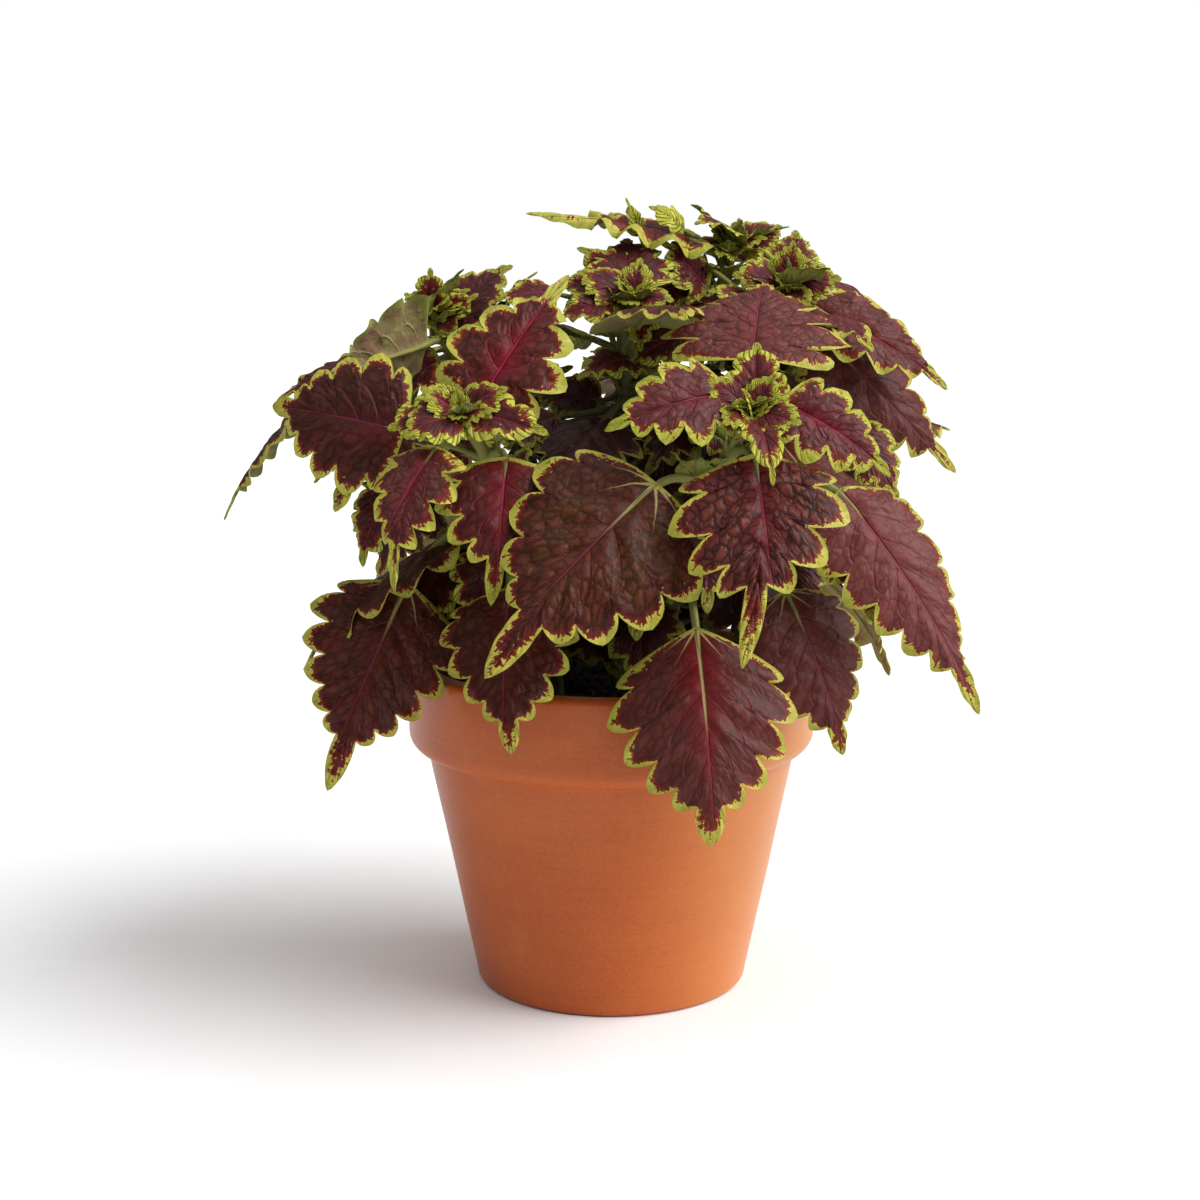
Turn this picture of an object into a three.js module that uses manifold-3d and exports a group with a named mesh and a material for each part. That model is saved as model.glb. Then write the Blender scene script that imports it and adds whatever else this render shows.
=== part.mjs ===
// Coleus in a terracotta pot. Millimetres, +Z up, the origin at the centre of the pot's foot, the front
// towards -Y. Each leafy stem is one body: a square stem, its leaf stalks and its paired, lobed blades,
// standing in the soil.
import * as THREE from 'three';
import Module from 'manifold-3d';
import { mergeVertices } from 'three/addons/utils/BufferGeometryUtils.js';

const wasm = await Module();
wasm.setup();

// ---------------------------------------------------------------- driving dimensions
const POT = {
  height: 121.5, rimRadius: 75, rimHeight: 32.4, rimRound: 7, rimRoundFrom: -70, underRimRadius: 68,
  footRadius: 50.5, footRound: 3, mouthRadius: 67.5, wellRadius: 44, floor: 8, lipRound: 2, lipBevel: 0.5,
  drainRadius: 9, sides: 36,
};
const SOIL = { top: 108, bumps: 1.6, rings: [50, 26], gap: 0.3 };
const STEM = {
  rootDepth: 33, baseRadius: 3.1, tipRadius: 1.7, steps: 9, sides: 4, bend: 0.5, holeGap: 0.3, holeSides: 8,
};
const STALK = { baseRadius: 1.8, tipRadius: 1.3, steps: 3, sides: 3, shortest: 5, root: 0.1, bend: 0.45 };
const BLADE = {
  thickness: 0.8, body: 0.74, notch: 0.28, baseRound: 0.06, taper: 0.7, taperPower: 2.2, endPower: 0.8,
  endSwell: 0.5, lobe: 0.65, veerBase: -8, veerTip: 55, veerEnd: 20, droop: 0.22, ripple: 0.022,
};
// The widest draw either way: degrees, degrees and two shares.
const CHANCE = { heading: 9, rise: 6, size: 0.08, sweep: 0.05 };

// How leaves are kept apart: the gaps left over blades and beside stems, how fast and how far a leaf may
// turn, and the width by which a blade is nicked where it still meets another stem.
const CLEAR = {
  rounds: 70, blade: 2.6, stalk: 3.2, ease: 0.5, turnLimit: 0.09, total: 0.42, young: 2,
  posed: 0.12, posedTotal: 0.1,
  lead: 0.08, base: 0.25, reach: 5, step: 6, arm: 10, posts: 21, cut: 0.45, edge: 1.03,
};

// Leaf pairs from the growing tip down: distance below the tip, blade length, stalk length, how far the
// stalk and the blade rise above level (degrees), half width over length, lobes a side, the blade's own bend
// (degrees), and how steeply its halves rise from the midrib.
const PAIRS = [
  { below: 0, length: 12, stalk: 0.5, stalkRise: 60, rise: 55, wide: 0.34, lobes: 1, arch: 25, fold: 0.4 },
  { below: 2, length: 22, stalk: 1.5, stalkRise: 45, rise: 34, wide: 0.4, lobes: 2, arch: 35, fold: 0.3 },
  { below: 7, length: 36, stalk: 5, stalkRise: 38, rise: 18, wide: 0.4, lobes: 3, arch: 45, fold: 0.2 },
  { below: 17, length: 55, stalk: 12, stalkRise: 30, rise: 0, wide: 0.4, lobes: 4, arch: 50, fold: 0.1 },
  { below: 34, length: 72, stalk: 19, stalkRise: 22, rise: -20, wide: 0.41, lobes: 5, arch: 50, fold: 0 },
  { below: 58, length: 80, stalk: 25, stalkRise: 16, rise: -38, wide: 0.41, lobes: 5, arch: 45, fold: 0 },
  { below: 84, length: 78, stalk: 27, stalkRise: 10, rise: -50, wide: 0.41, lobes: 5, arch: 45, fold: 0 },
];
// The least outward heading (cosine) at which a leaf of each pair is kept.
const SHADED = [-2, -2, -2, -2, -0.5, 0.1, 0.3];

// The stems: where each stands in the soil, its growing tip, the heading of its first leaf, the number of
// pairs, and the leaves that hang in a place of their own, by pair and side.
const STEMS = [
  {
    name: 'stem_front_left', foot: [-20, -28], tip: [-50, -70, 217], heading: 80, pairs: 6,
    posed: {
      '1a': hung([-46, -72, 218], [-21, -80, 211], [0, -0.85, 0.6], { wide: 0.4 }),
      '1b': hung([-54, -71, 217], [-74, -74, 212], [-0.1, -0.9, 0.5], { wide: 0.5 }),
      '2a': hung([-44, -63, 221], [-20, -31, 257], [-0.1, -0.85, 0.5],
        { wide: 0.46, lobes: 4, arch: 25, veer: -20, body: 0.68 }),
      '2b': hung([-58, -78, 207], [-78, -101, 165], [-0.5, -0.75, 0.4],
        { wide: 0.38, lobes: 4, arch: 30, sweep: 0.2, body: 0.66 }),
      '3a': hung([-70, -58, 210], [-115, -38, 215], [-0.15, -0.95, 0.35], { wide: 0.55, lobes: 5, arch: 30 }),
      '3b': hung([-35, -75, 203], [-38, -98, 158], [0, -0.85, 0.5],
        { wide: 0.5, lobes: 4, arch: 30, body: 0.62 }),
      '4a': hung([-35, -58, 157], [-36, -94, 108], [-0.1, -0.85, 0.5], { wide: 0.42, lobes: 5, arch: 40 }),
      '4b': hung([-71, -47, 157], [-100, -69, 90], [0.15, -0.95, 0.3],
        { wide: 0.4, lobes: 6, arch: 35, fold: -0.22, body: 0.68 }),
    },
  },
  {
    name: 'stem_front_right', foot: [18, -30], tip: [45, -80, 218], heading: 0, pairs: 6,
    posed: {
      '1a': hung([46, -78, 221], [47, -70, 241], [0, -0.9, 0.45], { wide: 0.55 }),
      '1b': hung([46, -84, 217], [51, -101, 197], [0.1, -0.8, 0.6], { wide: 0.3, arch: 70 }),
      '2a': hung([55, -79, 222], [91, -80, 198], [0.2, -0.85, 0.5], { wide: 0.4, lobes: 4, arch: 45 }),
      '2b': hung([37, -79, 225], [-3, -92, 214], [-0.1, -0.85, 0.5], { wide: 0.42, lobes: 4, arch: 40 }),
      '3a': hung([46, -66, 234], [54, -8, 259], [-0.05, -0.8, 0.75], { wide: 0.55, lobes: 5, arch: 25 }),
      '3b': hung([46, -87, 205], [51.5, -126, 144], [0, -0.8, 0.6],
        { wide: 0.46, lobes: 4, arch: 30, sweep: -0.16, notch: 0.4, body: 0.58 }),
      '4a': hung([78, -46, 189], [125, -64, 114], [0.35, -0.85, 0.4], { wide: 0.28, lobes: 6, arch: 30 }),
      '4b': hung([13.5, -86, 196], [-43, -119, 141], [0, -0.87, 0.48],
        { wide: 0.44, lobes: 5, arch: 25, notch: 0.24, sweep: 0.04, veer: -20, body: 0.64 }),
      '5a': hung([28, -73, 146], [33, -108, 81], [0.05, -0.9, 0.4],
        { wide: 0.5, lobes: 5, arch: 35, veer: 12 }),
      '5b': hung([60, -46, 154], [80, -62, 100], [0.35, -0.9, 0.35], { wide: 0.44, lobes: 5, arch: 30 }),
    },
  },
  {
    name: 'stem_middle', foot: [2, 2], tip: [7, -5, 252], heading: 20, pairs: 6,
    posed: {
      '1a': hung([10, -8, 250], [10, -21, 235], [0, -0.8, 0.5], { wide: 0.42, lobes: 3 }),
      '1b': hung([-1, -6, 254], [-18, 2, 260], [-0.1, -0.8, 0.7], { wide: 0.48, lobes: 3 }),
      '2b': hung([7, 0, 256], [4, 28, 274], [0, -0.8, 0.6], { wide: 0.56, lobes: 4, arch: 20 }),
      '2a': hung([1, -8, 252], [-20, -16, 245], [0, -0.7, 0.8], { wide: 0.42 }),
      '3b': hung([8, -14, 232], [-12, -34, 226], [-0.2, -0.7, 0.75], { wide: 0.42 }),
      '4b': hung([-2, -20, 212], [-22, -58, 184], [-0.2, -0.8, 0.6], { wide: 0.42 }),
      '5a': hung([10, -18, 176], [14, -66, 140], [0.2, -0.7, 0.7], { wide: 0.4 }),
      '5b': hung([30, -12, 180], [56, -38, 124], [0.3, -0.8, 0.4], { wide: 0.42 }),
    },
  },
  {
    name: 'stem_top', foot: [17, 22], tip: [46, 40, 270], heading: 90, pairs: 6,
    posed: {
      '2a': hung([46, 38, 273], [31, 22, 279], [0.2, -0.3, 1], { wide: 0.46, arch: 80 }),
      '3b': hung([38, 37, 272], [-31, 18, 283], [0, -0.14, 1],
        { wide: 0.36, lobes: 4, arch: 40, ripple: -0.07 }),
      '3a': hung([58, 36, 262], [106.4, 34, 243], [0.3, -0.15, 1], { wide: 0.34 }),
      '5b': hung([52, 24, 220], [98, 10, 160], [0.5, -0.7, 0.5], { wide: 0.41 }),
    },
  },
  {
    name: 'stem_upper_left', foot: [-26, 4], tip: [-66, 12, 246], heading: 60, pairs: 7,
    posed: {
      '1a': hung([-66, 9, 248], [-65, 5, 264], [0, -0.9, 0.4], { wide: 0.5 }),
      '2a': hung([-62, 16, 240], [-38, 32, 265], [-0.15, -0.8, 0.6], { wide: 0.4, lobes: 4 }),
      '2b': hung([-68, 6, 236], [-99, -10, 219], [0.1, -0.4, 0.9], { wide: 0.44, lobes: 4, fold: 0.6 }),
      '3a': hung([-84, 6, 230], [-122, -2, 216], [0, -0.3, 1], { wide: 0.42, arch: 35 }),
      '4a': hung([-103, -6, 222], [-136.5, -30, 177], [-0.78, 0, 0.6], { wide: 0.3, arch: 30 }),
      '5a': hung([-62, 17, 198], [-87, 15, 146], [-0.5, -0.8, 0.3], { wide: 0.41 }),
      '6a': hung([-50, -12, 168], [-84, -28, 124], [-0.5, -0.5, 0.7], { wide: 0.4 }),
    },
  },
  {
    name: 'stem_upper_right', foot: [32, 2], tip: [63, 8, 257], heading: 40, pairs: 7,
    posed: {
      '2a': hung([64, 9, 258], [69, 26, 277], [0, -0.8, 0.6], { wide: 0.46 }),
      '2b': hung([72, 8, 250], [121, -3, 220], [0.1, -0.6, 0.8], { wide: 0.36, lobes: 4, arch: 30 }),
      '4a': hung([75, 4, 238], [123, 15, 182], [0.3, -0.85, 0.45], { wide: 0.34, arch: 25, notch: 0.4 }),
    },
  },
  { name: 'stem_back_left', foot: [-18, 30], tip: [-50, 56, 238], heading: 28, pairs: 7 },
  { name: 'stem_back', foot: [4, 36], tip: [4, 44, 248], heading: 80, pairs: 7 },
  {
    name: 'stem_back_right', foot: [36, 30], tip: [76, 46, 232], heading: 20, pairs: 7,
    posed: { '4a': hung([74, 49, 202], [136, 80, 197], [0.1, 0, 1], { wide: 0.36, arch: 30, body: 0.84 }) },
  },
];

const COLOURS = { clay: 0xb8693f, soil: 0x1d1510, leaf: 0x54262a };

// ---------------------------------------------------------------- small helpers
const radians = THREE.MathUtils.degToRad;
const vector = ([x, y, z]) => new THREE.Vector3(x, y, z);
const mix = THREE.MathUtils.lerp;

/** A leaf in a place of its own: its blade's base and tip, the way its upper face looks, and its form. */
function hung(from, to, face, form) {
  return { from, to, face, ...form };
}

/** A settled draw between -1 and 1 for each whole number. */
function draw(seed) {
  const far = Math.sin(seed * 12.9898 + 4.1414) * 4375.8545;
  return 2 * (far - Math.floor(far)) - 1;
}

/** The solid that a closed geometry bounds. */
function solid(geometry) {
  const bare = geometry.clone();
  bare.deleteAttribute('normal');
  bare.deleteAttribute('uv');
  const merged = mergeVertices(bare, 1e-4);
  const corners = merged.index.array;
  const kept = [];
  for (let i = 0; i < corners.length; i += 3) {
    const [a, b, c] = [corners[i], corners[i + 1], corners[i + 2]];
    if (a !== b && b !== c && c !== a) kept.push(a, b, c);
  }
  const body = new wasm.Manifold(new wasm.Mesh({
    numProp: 3, vertProperties: merged.attributes.position.array, triVerts: Uint32Array.from(kept),
  }));
  return body.volume() < 0 ? insideOut(merged, kept) : body;
}

/** The same solid with every face turned round. */
function insideOut(merged, corners) {
  const turned = corners.map((_, i) => corners[i - (i % 3) + 2 - (i % 3)]);
  return new wasm.Manifold(new wasm.Mesh({
    numProp: 3, vertProperties: merged.attributes.position.array, triVerts: Uint32Array.from(turned),
  }));
}

/** A solid's mesh, named and coloured. */
function meshOf(body, name, colour, roughness) {
  const { vertProperties, triVerts } = body.getMesh();
  const geometry = new THREE.BufferGeometry();
  geometry.setAttribute('position', new THREE.BufferAttribute(Float32Array.from(vertProperties), 3));
  geometry.setIndex(new THREE.BufferAttribute(Uint32Array.from(triVerts), 1));
  geometry.computeVertexNormals();
  const material = new THREE.MeshStandardMaterial({ color: colour, roughness, metalness: 0 });
  const mesh = new THREE.Mesh(geometry, material);
  mesh.name = name;
  return mesh;
}

/** A closed tube along a curve, with a radius that runs evenly from one end to the other. */
function tube(curve, { sides, steps, from, to }) {
  const section = new THREE.Shape();
  for (let i = 0; i < sides; i += 1) {
    const angle = (2 * Math.PI * (i + 0.5)) / sides;
    section[i ? 'lineTo' : 'moveTo'](Math.cos(angle), Math.sin(angle));
  }
  section.closePath();
  const geometry = new THREE.ExtrudeGeometry(section, { steps, extrudePath: curve, bevelEnabled: false });
  const stations = curve.getSpacedPoints(steps);
  const place = geometry.attributes.position;
  const point = new THREE.Vector3();
  for (let i = 0; i < place.count; i += 1) {
    point.fromBufferAttribute(place, i);
    const spans = stations.map((station) => station.distanceTo(point));
    const near = spans.indexOf(Math.min(...spans));
    point.sub(stations[near]).multiplyScalar(mix(from, to, near / steps)).add(stations[near]);
    place.setXYZ(i, point.x, point.y, point.z);
  }
  return solid(geometry);
}

/** A closed profile of [radius, height] points turned round the pot's axis. */
function turned(profile) {
  const points = [...profile, profile[0]].map(([r, z]) => new THREE.Vector2(r, z));
  const geometry = new THREE.LatheGeometry(points, POT.sides);
  geometry.rotateX(Math.PI / 2);
  return solid(geometry);
}

// ---------------------------------------------------------------- pot and soil
/** Radius of the pot's inside wall at a height. */
function insideRadius(z) {
  return mix(POT.wellRadius, POT.mouthRadius, (z - POT.floor) / (POT.height - POT.floor));
}

/** Points on a quarter round from one angle to another (degrees). */
function round([r, z], radius, start, end, count) {
  return Array.from({ length: count + 1 }, (_, i) => {
    const angle = radians(mix(start, end, i / count));
    return [r + radius * Math.cos(angle), z + radius * Math.sin(angle)];
  });
}

function makePot() {
  const { height, rimRadius, rimRound, footRadius, footRound, lipRound, floor, drainRadius } = POT;
  const rimFoot = height - POT.rimHeight;
  return turned([
    [drainRadius, 0],
    ...round([footRadius - footRound, footRound], footRound, -90, 0, 1),
    [POT.underRimRadius, rimFoot],
    ...round([rimRadius - rimRound, rimFoot + rimRound], rimRound, POT.rimRoundFrom, 0, 2),
    ...round([rimRadius - lipRound, height - lipRound], lipRound, 0, 90, 2),
    [insideRadius(height), height - POT.lipBevel],
    [insideRadius(floor), floor],
    [drainRadius, floor],
  ]);
}

/** Height of the soil's surface: a few low bumps on a level bed. */
function soilHeight(x, y) {
  const waves = Math.sin(x * 0.16 + 1.3) * Math.cos(y * 0.13) + 0.6 * Math.sin(x * 0.07 - y * 0.19);
  return SOIL.top + SOIL.bumps * waves;
}

function makeSoil() {
  const edge = insideRadius(SOIL.top) - SOIL.gap;
  const profile = [[0, POT.floor], [insideRadius(POT.floor) - SOIL.gap, POT.floor], [edge, SOIL.top]];
  const surface = SOIL.rings.map((r) => [r, SOIL.top]);
  const points = [...profile, ...surface, [0, SOIL.top]].map(([r, z]) => new THREE.Vector2(r, z));
  const geometry = new THREE.LatheGeometry(points, POT.sides);
  geometry.rotateX(Math.PI / 2);
  const place = geometry.attributes.position;
  for (let i = 0; i < place.count; i += 1) {
    const [x, y, z] = [place.getX(i), place.getY(i), place.getZ(i)];
    const onSurface = z > mix(POT.floor, SOIL.top, 0.99) && Math.hypot(x, y) < mix(SOIL.rings[0], edge, 0.5);
    if (onSurface) place.setZ(i, soilHeight(x, y));
  }
  return solid(geometry);
}

// ---------------------------------------------------------------- stems
/** A stem's centre line: upright in the soil, then leaning out in one bend to its growing tip. */
class StemLine extends THREE.Curve {
  constructor({ foot, tip }) {
    super();
    this.foot = new THREE.Vector3(...foot, SOIL.top);
    this.tip = vector(tip);
    this.knee = new THREE.Vector3(...foot, mix(SOIL.top, this.tip.z, STEM.bend));
    this.span = this.foot.distanceTo(this.tip);
  }

  /** Point at t, from 0 in the soil's surface to 1 at the tip; the root below it is straight. */
  above(t) {
    const [a, b, c] = [(1 - t) * (1 - t), 2 * t * (1 - t), t * t];
    return this.foot.clone().multiplyScalar(a).addScaledVector(this.knee, b).addScaledVector(this.tip, c);
  }

  getPoint(t) {
    const whole = this.span + STEM.rootDepth;
    const depth = STEM.rootDepth - t * whole;
    if (depth > 0) return new THREE.Vector3(this.foot.x, this.foot.y, SOIL.top - depth);
    return this.above(-depth / this.span);
  }

  /** Direction in which the stem grows at t above the soil. */
  growth(t) {
    const after = Math.min(t + 0.02, 1);
    return this.above(after).sub(this.above(after - 0.04)).normalize();
  }
}

// ---------------------------------------------------------------- blades
/** A leaf: a stalk that hinges on the stem, and a lobed blade that bends evenly along its midrib. */
class Leaf {
  constructor({ hinge, from, to, face, rank, stem, form }) {
    Object.assign(this, { hinge, from, to, face, rank, stem, ...form });
    this.turned = 0;
    this.settle();
  }

  /** Works out the blade's length and its own axes from its base, its tip and the way it looks. */
  settle() {
    const along = this.to.clone().sub(this.from);
    const chord = along.length();
    along.normalize();
    const up = this.face.clone().addScaledVector(along, -this.face.dot(along)).normalize();
    const half = radians(this.arch) / 2;
    this.length = (chord * half) / Math.sin(half);
    this.radius = this.length / (2 * half);
    this.ahead = along.clone().multiplyScalar(Math.cos(half)).addScaledVector(up, Math.sin(half));
    this.up = up.clone().multiplyScalar(Math.cos(half)).addScaledVector(along, -Math.sin(half));
    this.side = up.clone().cross(along);
  }

  /** Turns the whole leaf about its hinge by a rotation vector. */
  turn(rotation) {
    const angle = rotation.length();
    if (angle < 1e-9) return;
    const axis = rotation.clone().divideScalar(angle);
    [this.from, this.to].forEach((p) => p.sub(this.hinge).applyAxisAngle(axis, angle).add(this.hinge));
    this.face.applyAxisAngle(axis, angle);
    this.turned += angle;
    this.settle();
  }

  /** Half width of the blade without its notches, at a share of its length. */
  reach(u) {
    const body = Math.min(Math.max(u, 0) / this.body, 1);
    const opening = 1 - Math.exp(-Math.max(u, 0) / BLADE.baseRound);
    return this.wide * this.length * opening * (1 - BLADE.taper * body ** BLADE.taperPower);
  }

  /** Point of the blade's middle surface: u runs up the midrib, v from one margin (-1) to the other (1). */
  point(u, v) {
    const body = Math.min(u / this.body, 1);
    const rest = Math.max((u - this.body) / (1 - this.body), 0);
    const across = Math.abs(v);
    const tooth = Math.abs(Math.sin(Math.PI * this.lobes * body)) ** BLADE.lobe;
    const end = Math.max(1 - rest, 0) ** BLADE.endPower * (1 + BLADE.endSwell * rest);
    const out = this.reach(u) * (1 - this.notch + this.notch * tooth) * end;
    const { veerTip, veerEnd } = BLADE;
    const veer = radians(rest > 0 ? mix(veerTip, veerEnd, rest) : mix(this.veer, veerTip, body));
    const s = this.length * u + across * out * Math.sin(veer);
    const y = v * out * Math.cos(veer) + this.sweep * this.length * (s / this.length) ** 2;
    const wave = Math.cos(2 * Math.PI * this.lobes * body) * (rest > 0 ? 1 - rest : 1);
    const hang = this.ripple * this.length * wave - BLADE.droop * out;
    const z = across * this.fold * out + across ** 2 * hang;
    return this.bent(s, y, z);
  }

  /** Place of a point that lies s along, y across and z above the blade's middle surface. */
  bent(s, y, z) {
    const angle = s / this.radius;
    return this.from.clone()
      .addScaledVector(this.ahead, (this.radius + z) * Math.sin(angle))
      .addScaledVector(this.side, y)
      .addScaledVector(this.up, (this.radius + z) * Math.cos(angle) - this.radius);
  }

  /** Where a point lies by the blade: along it, across it, its height over it and the margin there. */
  over(p) {
    const away = p.clone().sub(this.from);
    const [x, w] = [away.dot(this.ahead), away.dot(this.up) + this.radius];
    const s = this.radius * Math.atan2(x, w);
    const u = s / this.length;
    const y = away.dot(this.side) - this.sweep * this.length * u * u;
    const margin = this.reach(u + CLEAR.lead);
    const off = Math.min(Math.abs(y), margin);
    const hang = (BLADE.droop * off * off) / (margin + 1);
    const height = Math.hypot(x, w) - this.radius - this.fold * off + hang;
    const inside = u > -0.05 && u < 1.03 && Math.abs(y) < margin + 1;
    return { inside, u, y, margin, height };
  }

  /** Direction across the blade at a share of its length. */
  normal(u) {
    const angle = (u * this.length) / this.radius;
    return this.up.clone().multiplyScalar(Math.cos(angle)).addScaledVector(this.ahead, Math.sin(angle));
  }

  /** The stalk's centre line, from inside the stem to inside the blade's base. */
  stalkLine() {
    const end = this.bent(STALK.root * this.length, 0, 0);
    const pull = STALK.bend * this.hinge.distanceTo(this.from);
    const bend = this.from.clone().addScaledVector(this.ahead, -pull);
    return new THREE.QuadraticBezierCurve3(this.hinge, bend, end);
  }
}

/** Shares of a blade's length at the notch after each lobe, and in the middle of a long blade's end lobe. */
function notchShares(leaf) {
  const shares = Array.from({ length: leaf.lobes }, (_, i) => (leaf.body * (i + 1)) / leaf.lobes);
  return leaf.lobes > 3 ? [...shares, (1 + leaf.body) / 2] : shares;
}

/** A blade as a closed shell, both faces split into triangles alike; edge is how far out its margins lie. */
function bladeSolid(leaf, thickness, edge = 1) {
  const middle = [];
  const add = (u, v) => middle.push(leaf.point(u, v)) - 1;
  const base = add(0, 0);
  const faces = [];
  const right = [];
  const left = [];
  let before = { r: base, m: base, l: base };
  notchShares(leaf).forEach((u, i) => {
    const here = { r: add(u, -edge), m: add(u, 0), l: add(u, edge) };
    const { r, m, l } = before;
    if (i < leaf.lobes) {
      const tip = u - (0.5 * leaf.body) / leaf.lobes;
      const [tipRight, tipLeft] = [add(tip, -edge), add(tip, edge)];
      faces.push([r, tipRight, here.r], [here.l, tipLeft, l]);
      right.push(tipRight);
      left.push(tipLeft);
    }
    if (r !== m) faces.push([m, r, here.r], [m, here.l, l]);
    faces.push([m, here.r, here.m], [m, here.m, here.l]);
    right.push(here.r);
    left.push(here.l);
    before = here;
  });
  const end = add(1, 0);
  faces.push([before.r, end, before.m], [before.m, end, before.l]);

  const normals = middle.map(() => new THREE.Vector3());
  faces.forEach(([a, b, c]) => {
    const facing = middle[b].clone().sub(middle[a]).cross(middle[c].clone().sub(middle[a]));
    [a, b, c].forEach((i) => normals[i].add(facing));
  });
  const half = thickness / 2;
  const offset = (by) => middle.map((p, i) => p.clone().addScaledVector(normals[i].clone().normalize(), by));
  const places = [...offset(half), ...offset(-half)];
  const count = middle.length;
  const rim = [base, ...right, end, ...left.reverse()];
  const corners = faces.flatMap(([a, b, c]) => [a, b, c, a + count, c + count, b + count]);
  rim.forEach((a, i) => {
    const b = rim[(i + 1) % rim.length];
    corners.push(a + count, b + count, b, a + count, b, a);
  });
  const geometry = new THREE.BufferGeometry();
  geometry.setFromPoints(places);
  geometry.setIndex(corners);
  return solid(geometry);
}

/** The leaves of a stem, in opposite pairs, each pair a quarter turn from the next. */
function leavesOf(stem, line, number) {
  const leaves = [];
  const outward = Math.atan2(stem.tip[1], stem.tip[0]);
  PAIRS.slice(0, stem.pairs).forEach((pair, rank) => {
    ['a', 'b'].forEach((letter, half) => {
      const seed = 100 * number + 10 * rank + half;
      const heading = radians(stem.heading + 90 * rank + 180 * half + CHANCE.heading * draw(seed));
      const own = stem.posed?.[`${rank}${letter}`];
      const hidden = Math.cos(heading - outward) < SHADED[rank];
      if (hidden && !own) return;
      const t = 1 - pair.below / line.span;
      const hinge = line.above(t);
      const axis = new THREE.Vector3(0, 0, 1).lerp(line.growth(t), Math.max(1 - rank / 5, 0)).normalize();
      const level = new THREE.Vector3(Math.cos(heading), Math.sin(heading), 0);
      level.addScaledVector(axis, -level.dot(axis)).normalize();
      const raised = (degrees) => level.clone().multiplyScalar(Math.cos(radians(degrees)))
        .addScaledVector(axis, Math.sin(radians(degrees)));
      const rise = pair.rise + CHANCE.rise * draw(seed + 3);
      const size = 1 + CHANCE.size * draw(seed + 5);
      const from = own ? vector(own.from) : hinge.clone().addScaledVector(raised(pair.stalkRise), pair.stalk);
      const to = own ? vector(own.to) : from.clone().addScaledVector(raised(rise), pair.length * size);
      const face = own ? vector(own.face) : raised(rise + 90);
      const form = {
        wide: own?.wide ?? pair.wide, lobes: own?.lobes ?? pair.lobes, arch: own?.arch ?? pair.arch,
        sweep: own?.sweep ?? CHANCE.sweep * draw(seed + 7), notch: own?.notch ?? BLADE.notch,
        fold: own?.fold ?? pair.fold, ripple: own?.ripple ?? BLADE.ripple,
        veer: own?.veer ?? BLADE.veerBase, body: own?.body ?? BLADE.body, posed: Boolean(own),
      };
      leaves.push(new Leaf({ hinge, from, to, face, rank, stem: number, form }));
    });
  });
  return leaves;
}

// ---------------------------------------------------------------- leaves bent clear of each other
// Points of a blade, as shares along and across it, and of its stalk, whose places are watched.
const ACROSS = [-0.9, -0.45, 0, 0.45, 0.9];
const PROBES = [0.12, 0.35, 0.58, 0.8, 1].flatMap((u) => (u < 1 ? ACROSS : [0]).map((v) => [u, v]));
const MIDDLE = PROBES.length >> 1;
const STALK_PROBES = [0.45, 0.65, 0.85];

/** The push that turns a leaf about its hinge when one of its points has to move. */
function addPush(leaf, point, push) {
  const arm = point.clone().sub(leaf.hinge);
  leaf.push.add(arm.clone().cross(push).divideScalar(Math.max(arm.lengthSq(), CLEAR.arm ** 2)));
}

/** Notes where a leaf's watched points are, and how far it gives way: not when young, little when posed. */
function watch(leaf) {
  leaf.push = new THREE.Vector3();
  leaf.probes = PROBES.map(([u, v]) => leaf.point(u, v));
  const stalk = leaf.stalkLine();
  leaf.stalkProbes = STALK_PROBES.map((t) => stalk.getPoint(t));
  const [ease, total] = leaf.posed ? [CLEAR.posed, CLEAR.posedTotal] : [1, CLEAR.total];
  leaf.share = leaf.rank < CLEAR.young ? 0 : ease * Math.max(1 - leaf.turned / total, 0);
}

/** Parts two leaves where points of one lie too near the other's blade; side is +1 while it lies over it. */
function part(upper, lower, side, found) {
  const worst = found.reduce((a, b) => (side * a.height < side * b.height ? a : b));
  const lack = CLEAR.blade - side * worst.height;
  const total = upper.share + lower.share;
  if (lack <= 0 || total === 0) return;
  const push = lower.normal(worst.u).multiplyScalar(side * lack * CLEAR.ease);
  addPush(upper, worst.p, push.clone().multiplyScalar(upper.share / total));
  addPush(lower, worst.p, push.clone().multiplyScalar(-lower.share / total));
}

/** The watched points of one leaf that lie over or under another's blade. */
function meeting(upper, lower) {
  const kin = upper.stem === lower.stem;
  if (kin && (upper.rank < CLEAR.young || lower.rank < CLEAR.young)) return [];
  if (upper.probes[MIDDLE].distanceTo(lower.probes[MIDDLE]) > upper.length + lower.length) return [];
  const points = kin ? upper.probes.slice(ACROSS.length) : [...upper.probes, ...upper.stalkProbes];
  return points.map((p) => ({ p, ...lower.over(p) })).filter((f) => f.inside && (!kin || f.u > CLEAR.base));
}

/** Moves a leaf sideways off the stems that pass through it, and up off the pot's rim. */
function clearPosts(leaf, posts) {
  posts.forEach(({ stem, place }) => {
    const found = leaf.over(place);
    const own = stem === leaf.stem && found.u < CLEAR.lead;
    if (!found.inside || Math.abs(found.height) > CLEAR.reach || own) return;
    const lack = Math.min(found.margin + CLEAR.stalk - Math.abs(found.y), CLEAR.step);
    const away = found.y > 0 ? -1 : 1;
    addPush(leaf, place, leaf.side.clone().multiplyScalar(away * lack * CLEAR.ease * leaf.share));
  });
  leaf.probes.forEach((p) => {
    const lack = POT.height + CLEAR.blade - p.z;
    if (lack <= 0 || Math.hypot(p.x, p.y) > POT.rimRadius + CLEAR.blade) return;
    addPush(leaf, p, new THREE.Vector3(0, 0, Math.min(lack, CLEAR.step) * CLEAR.ease));
  });
}

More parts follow.
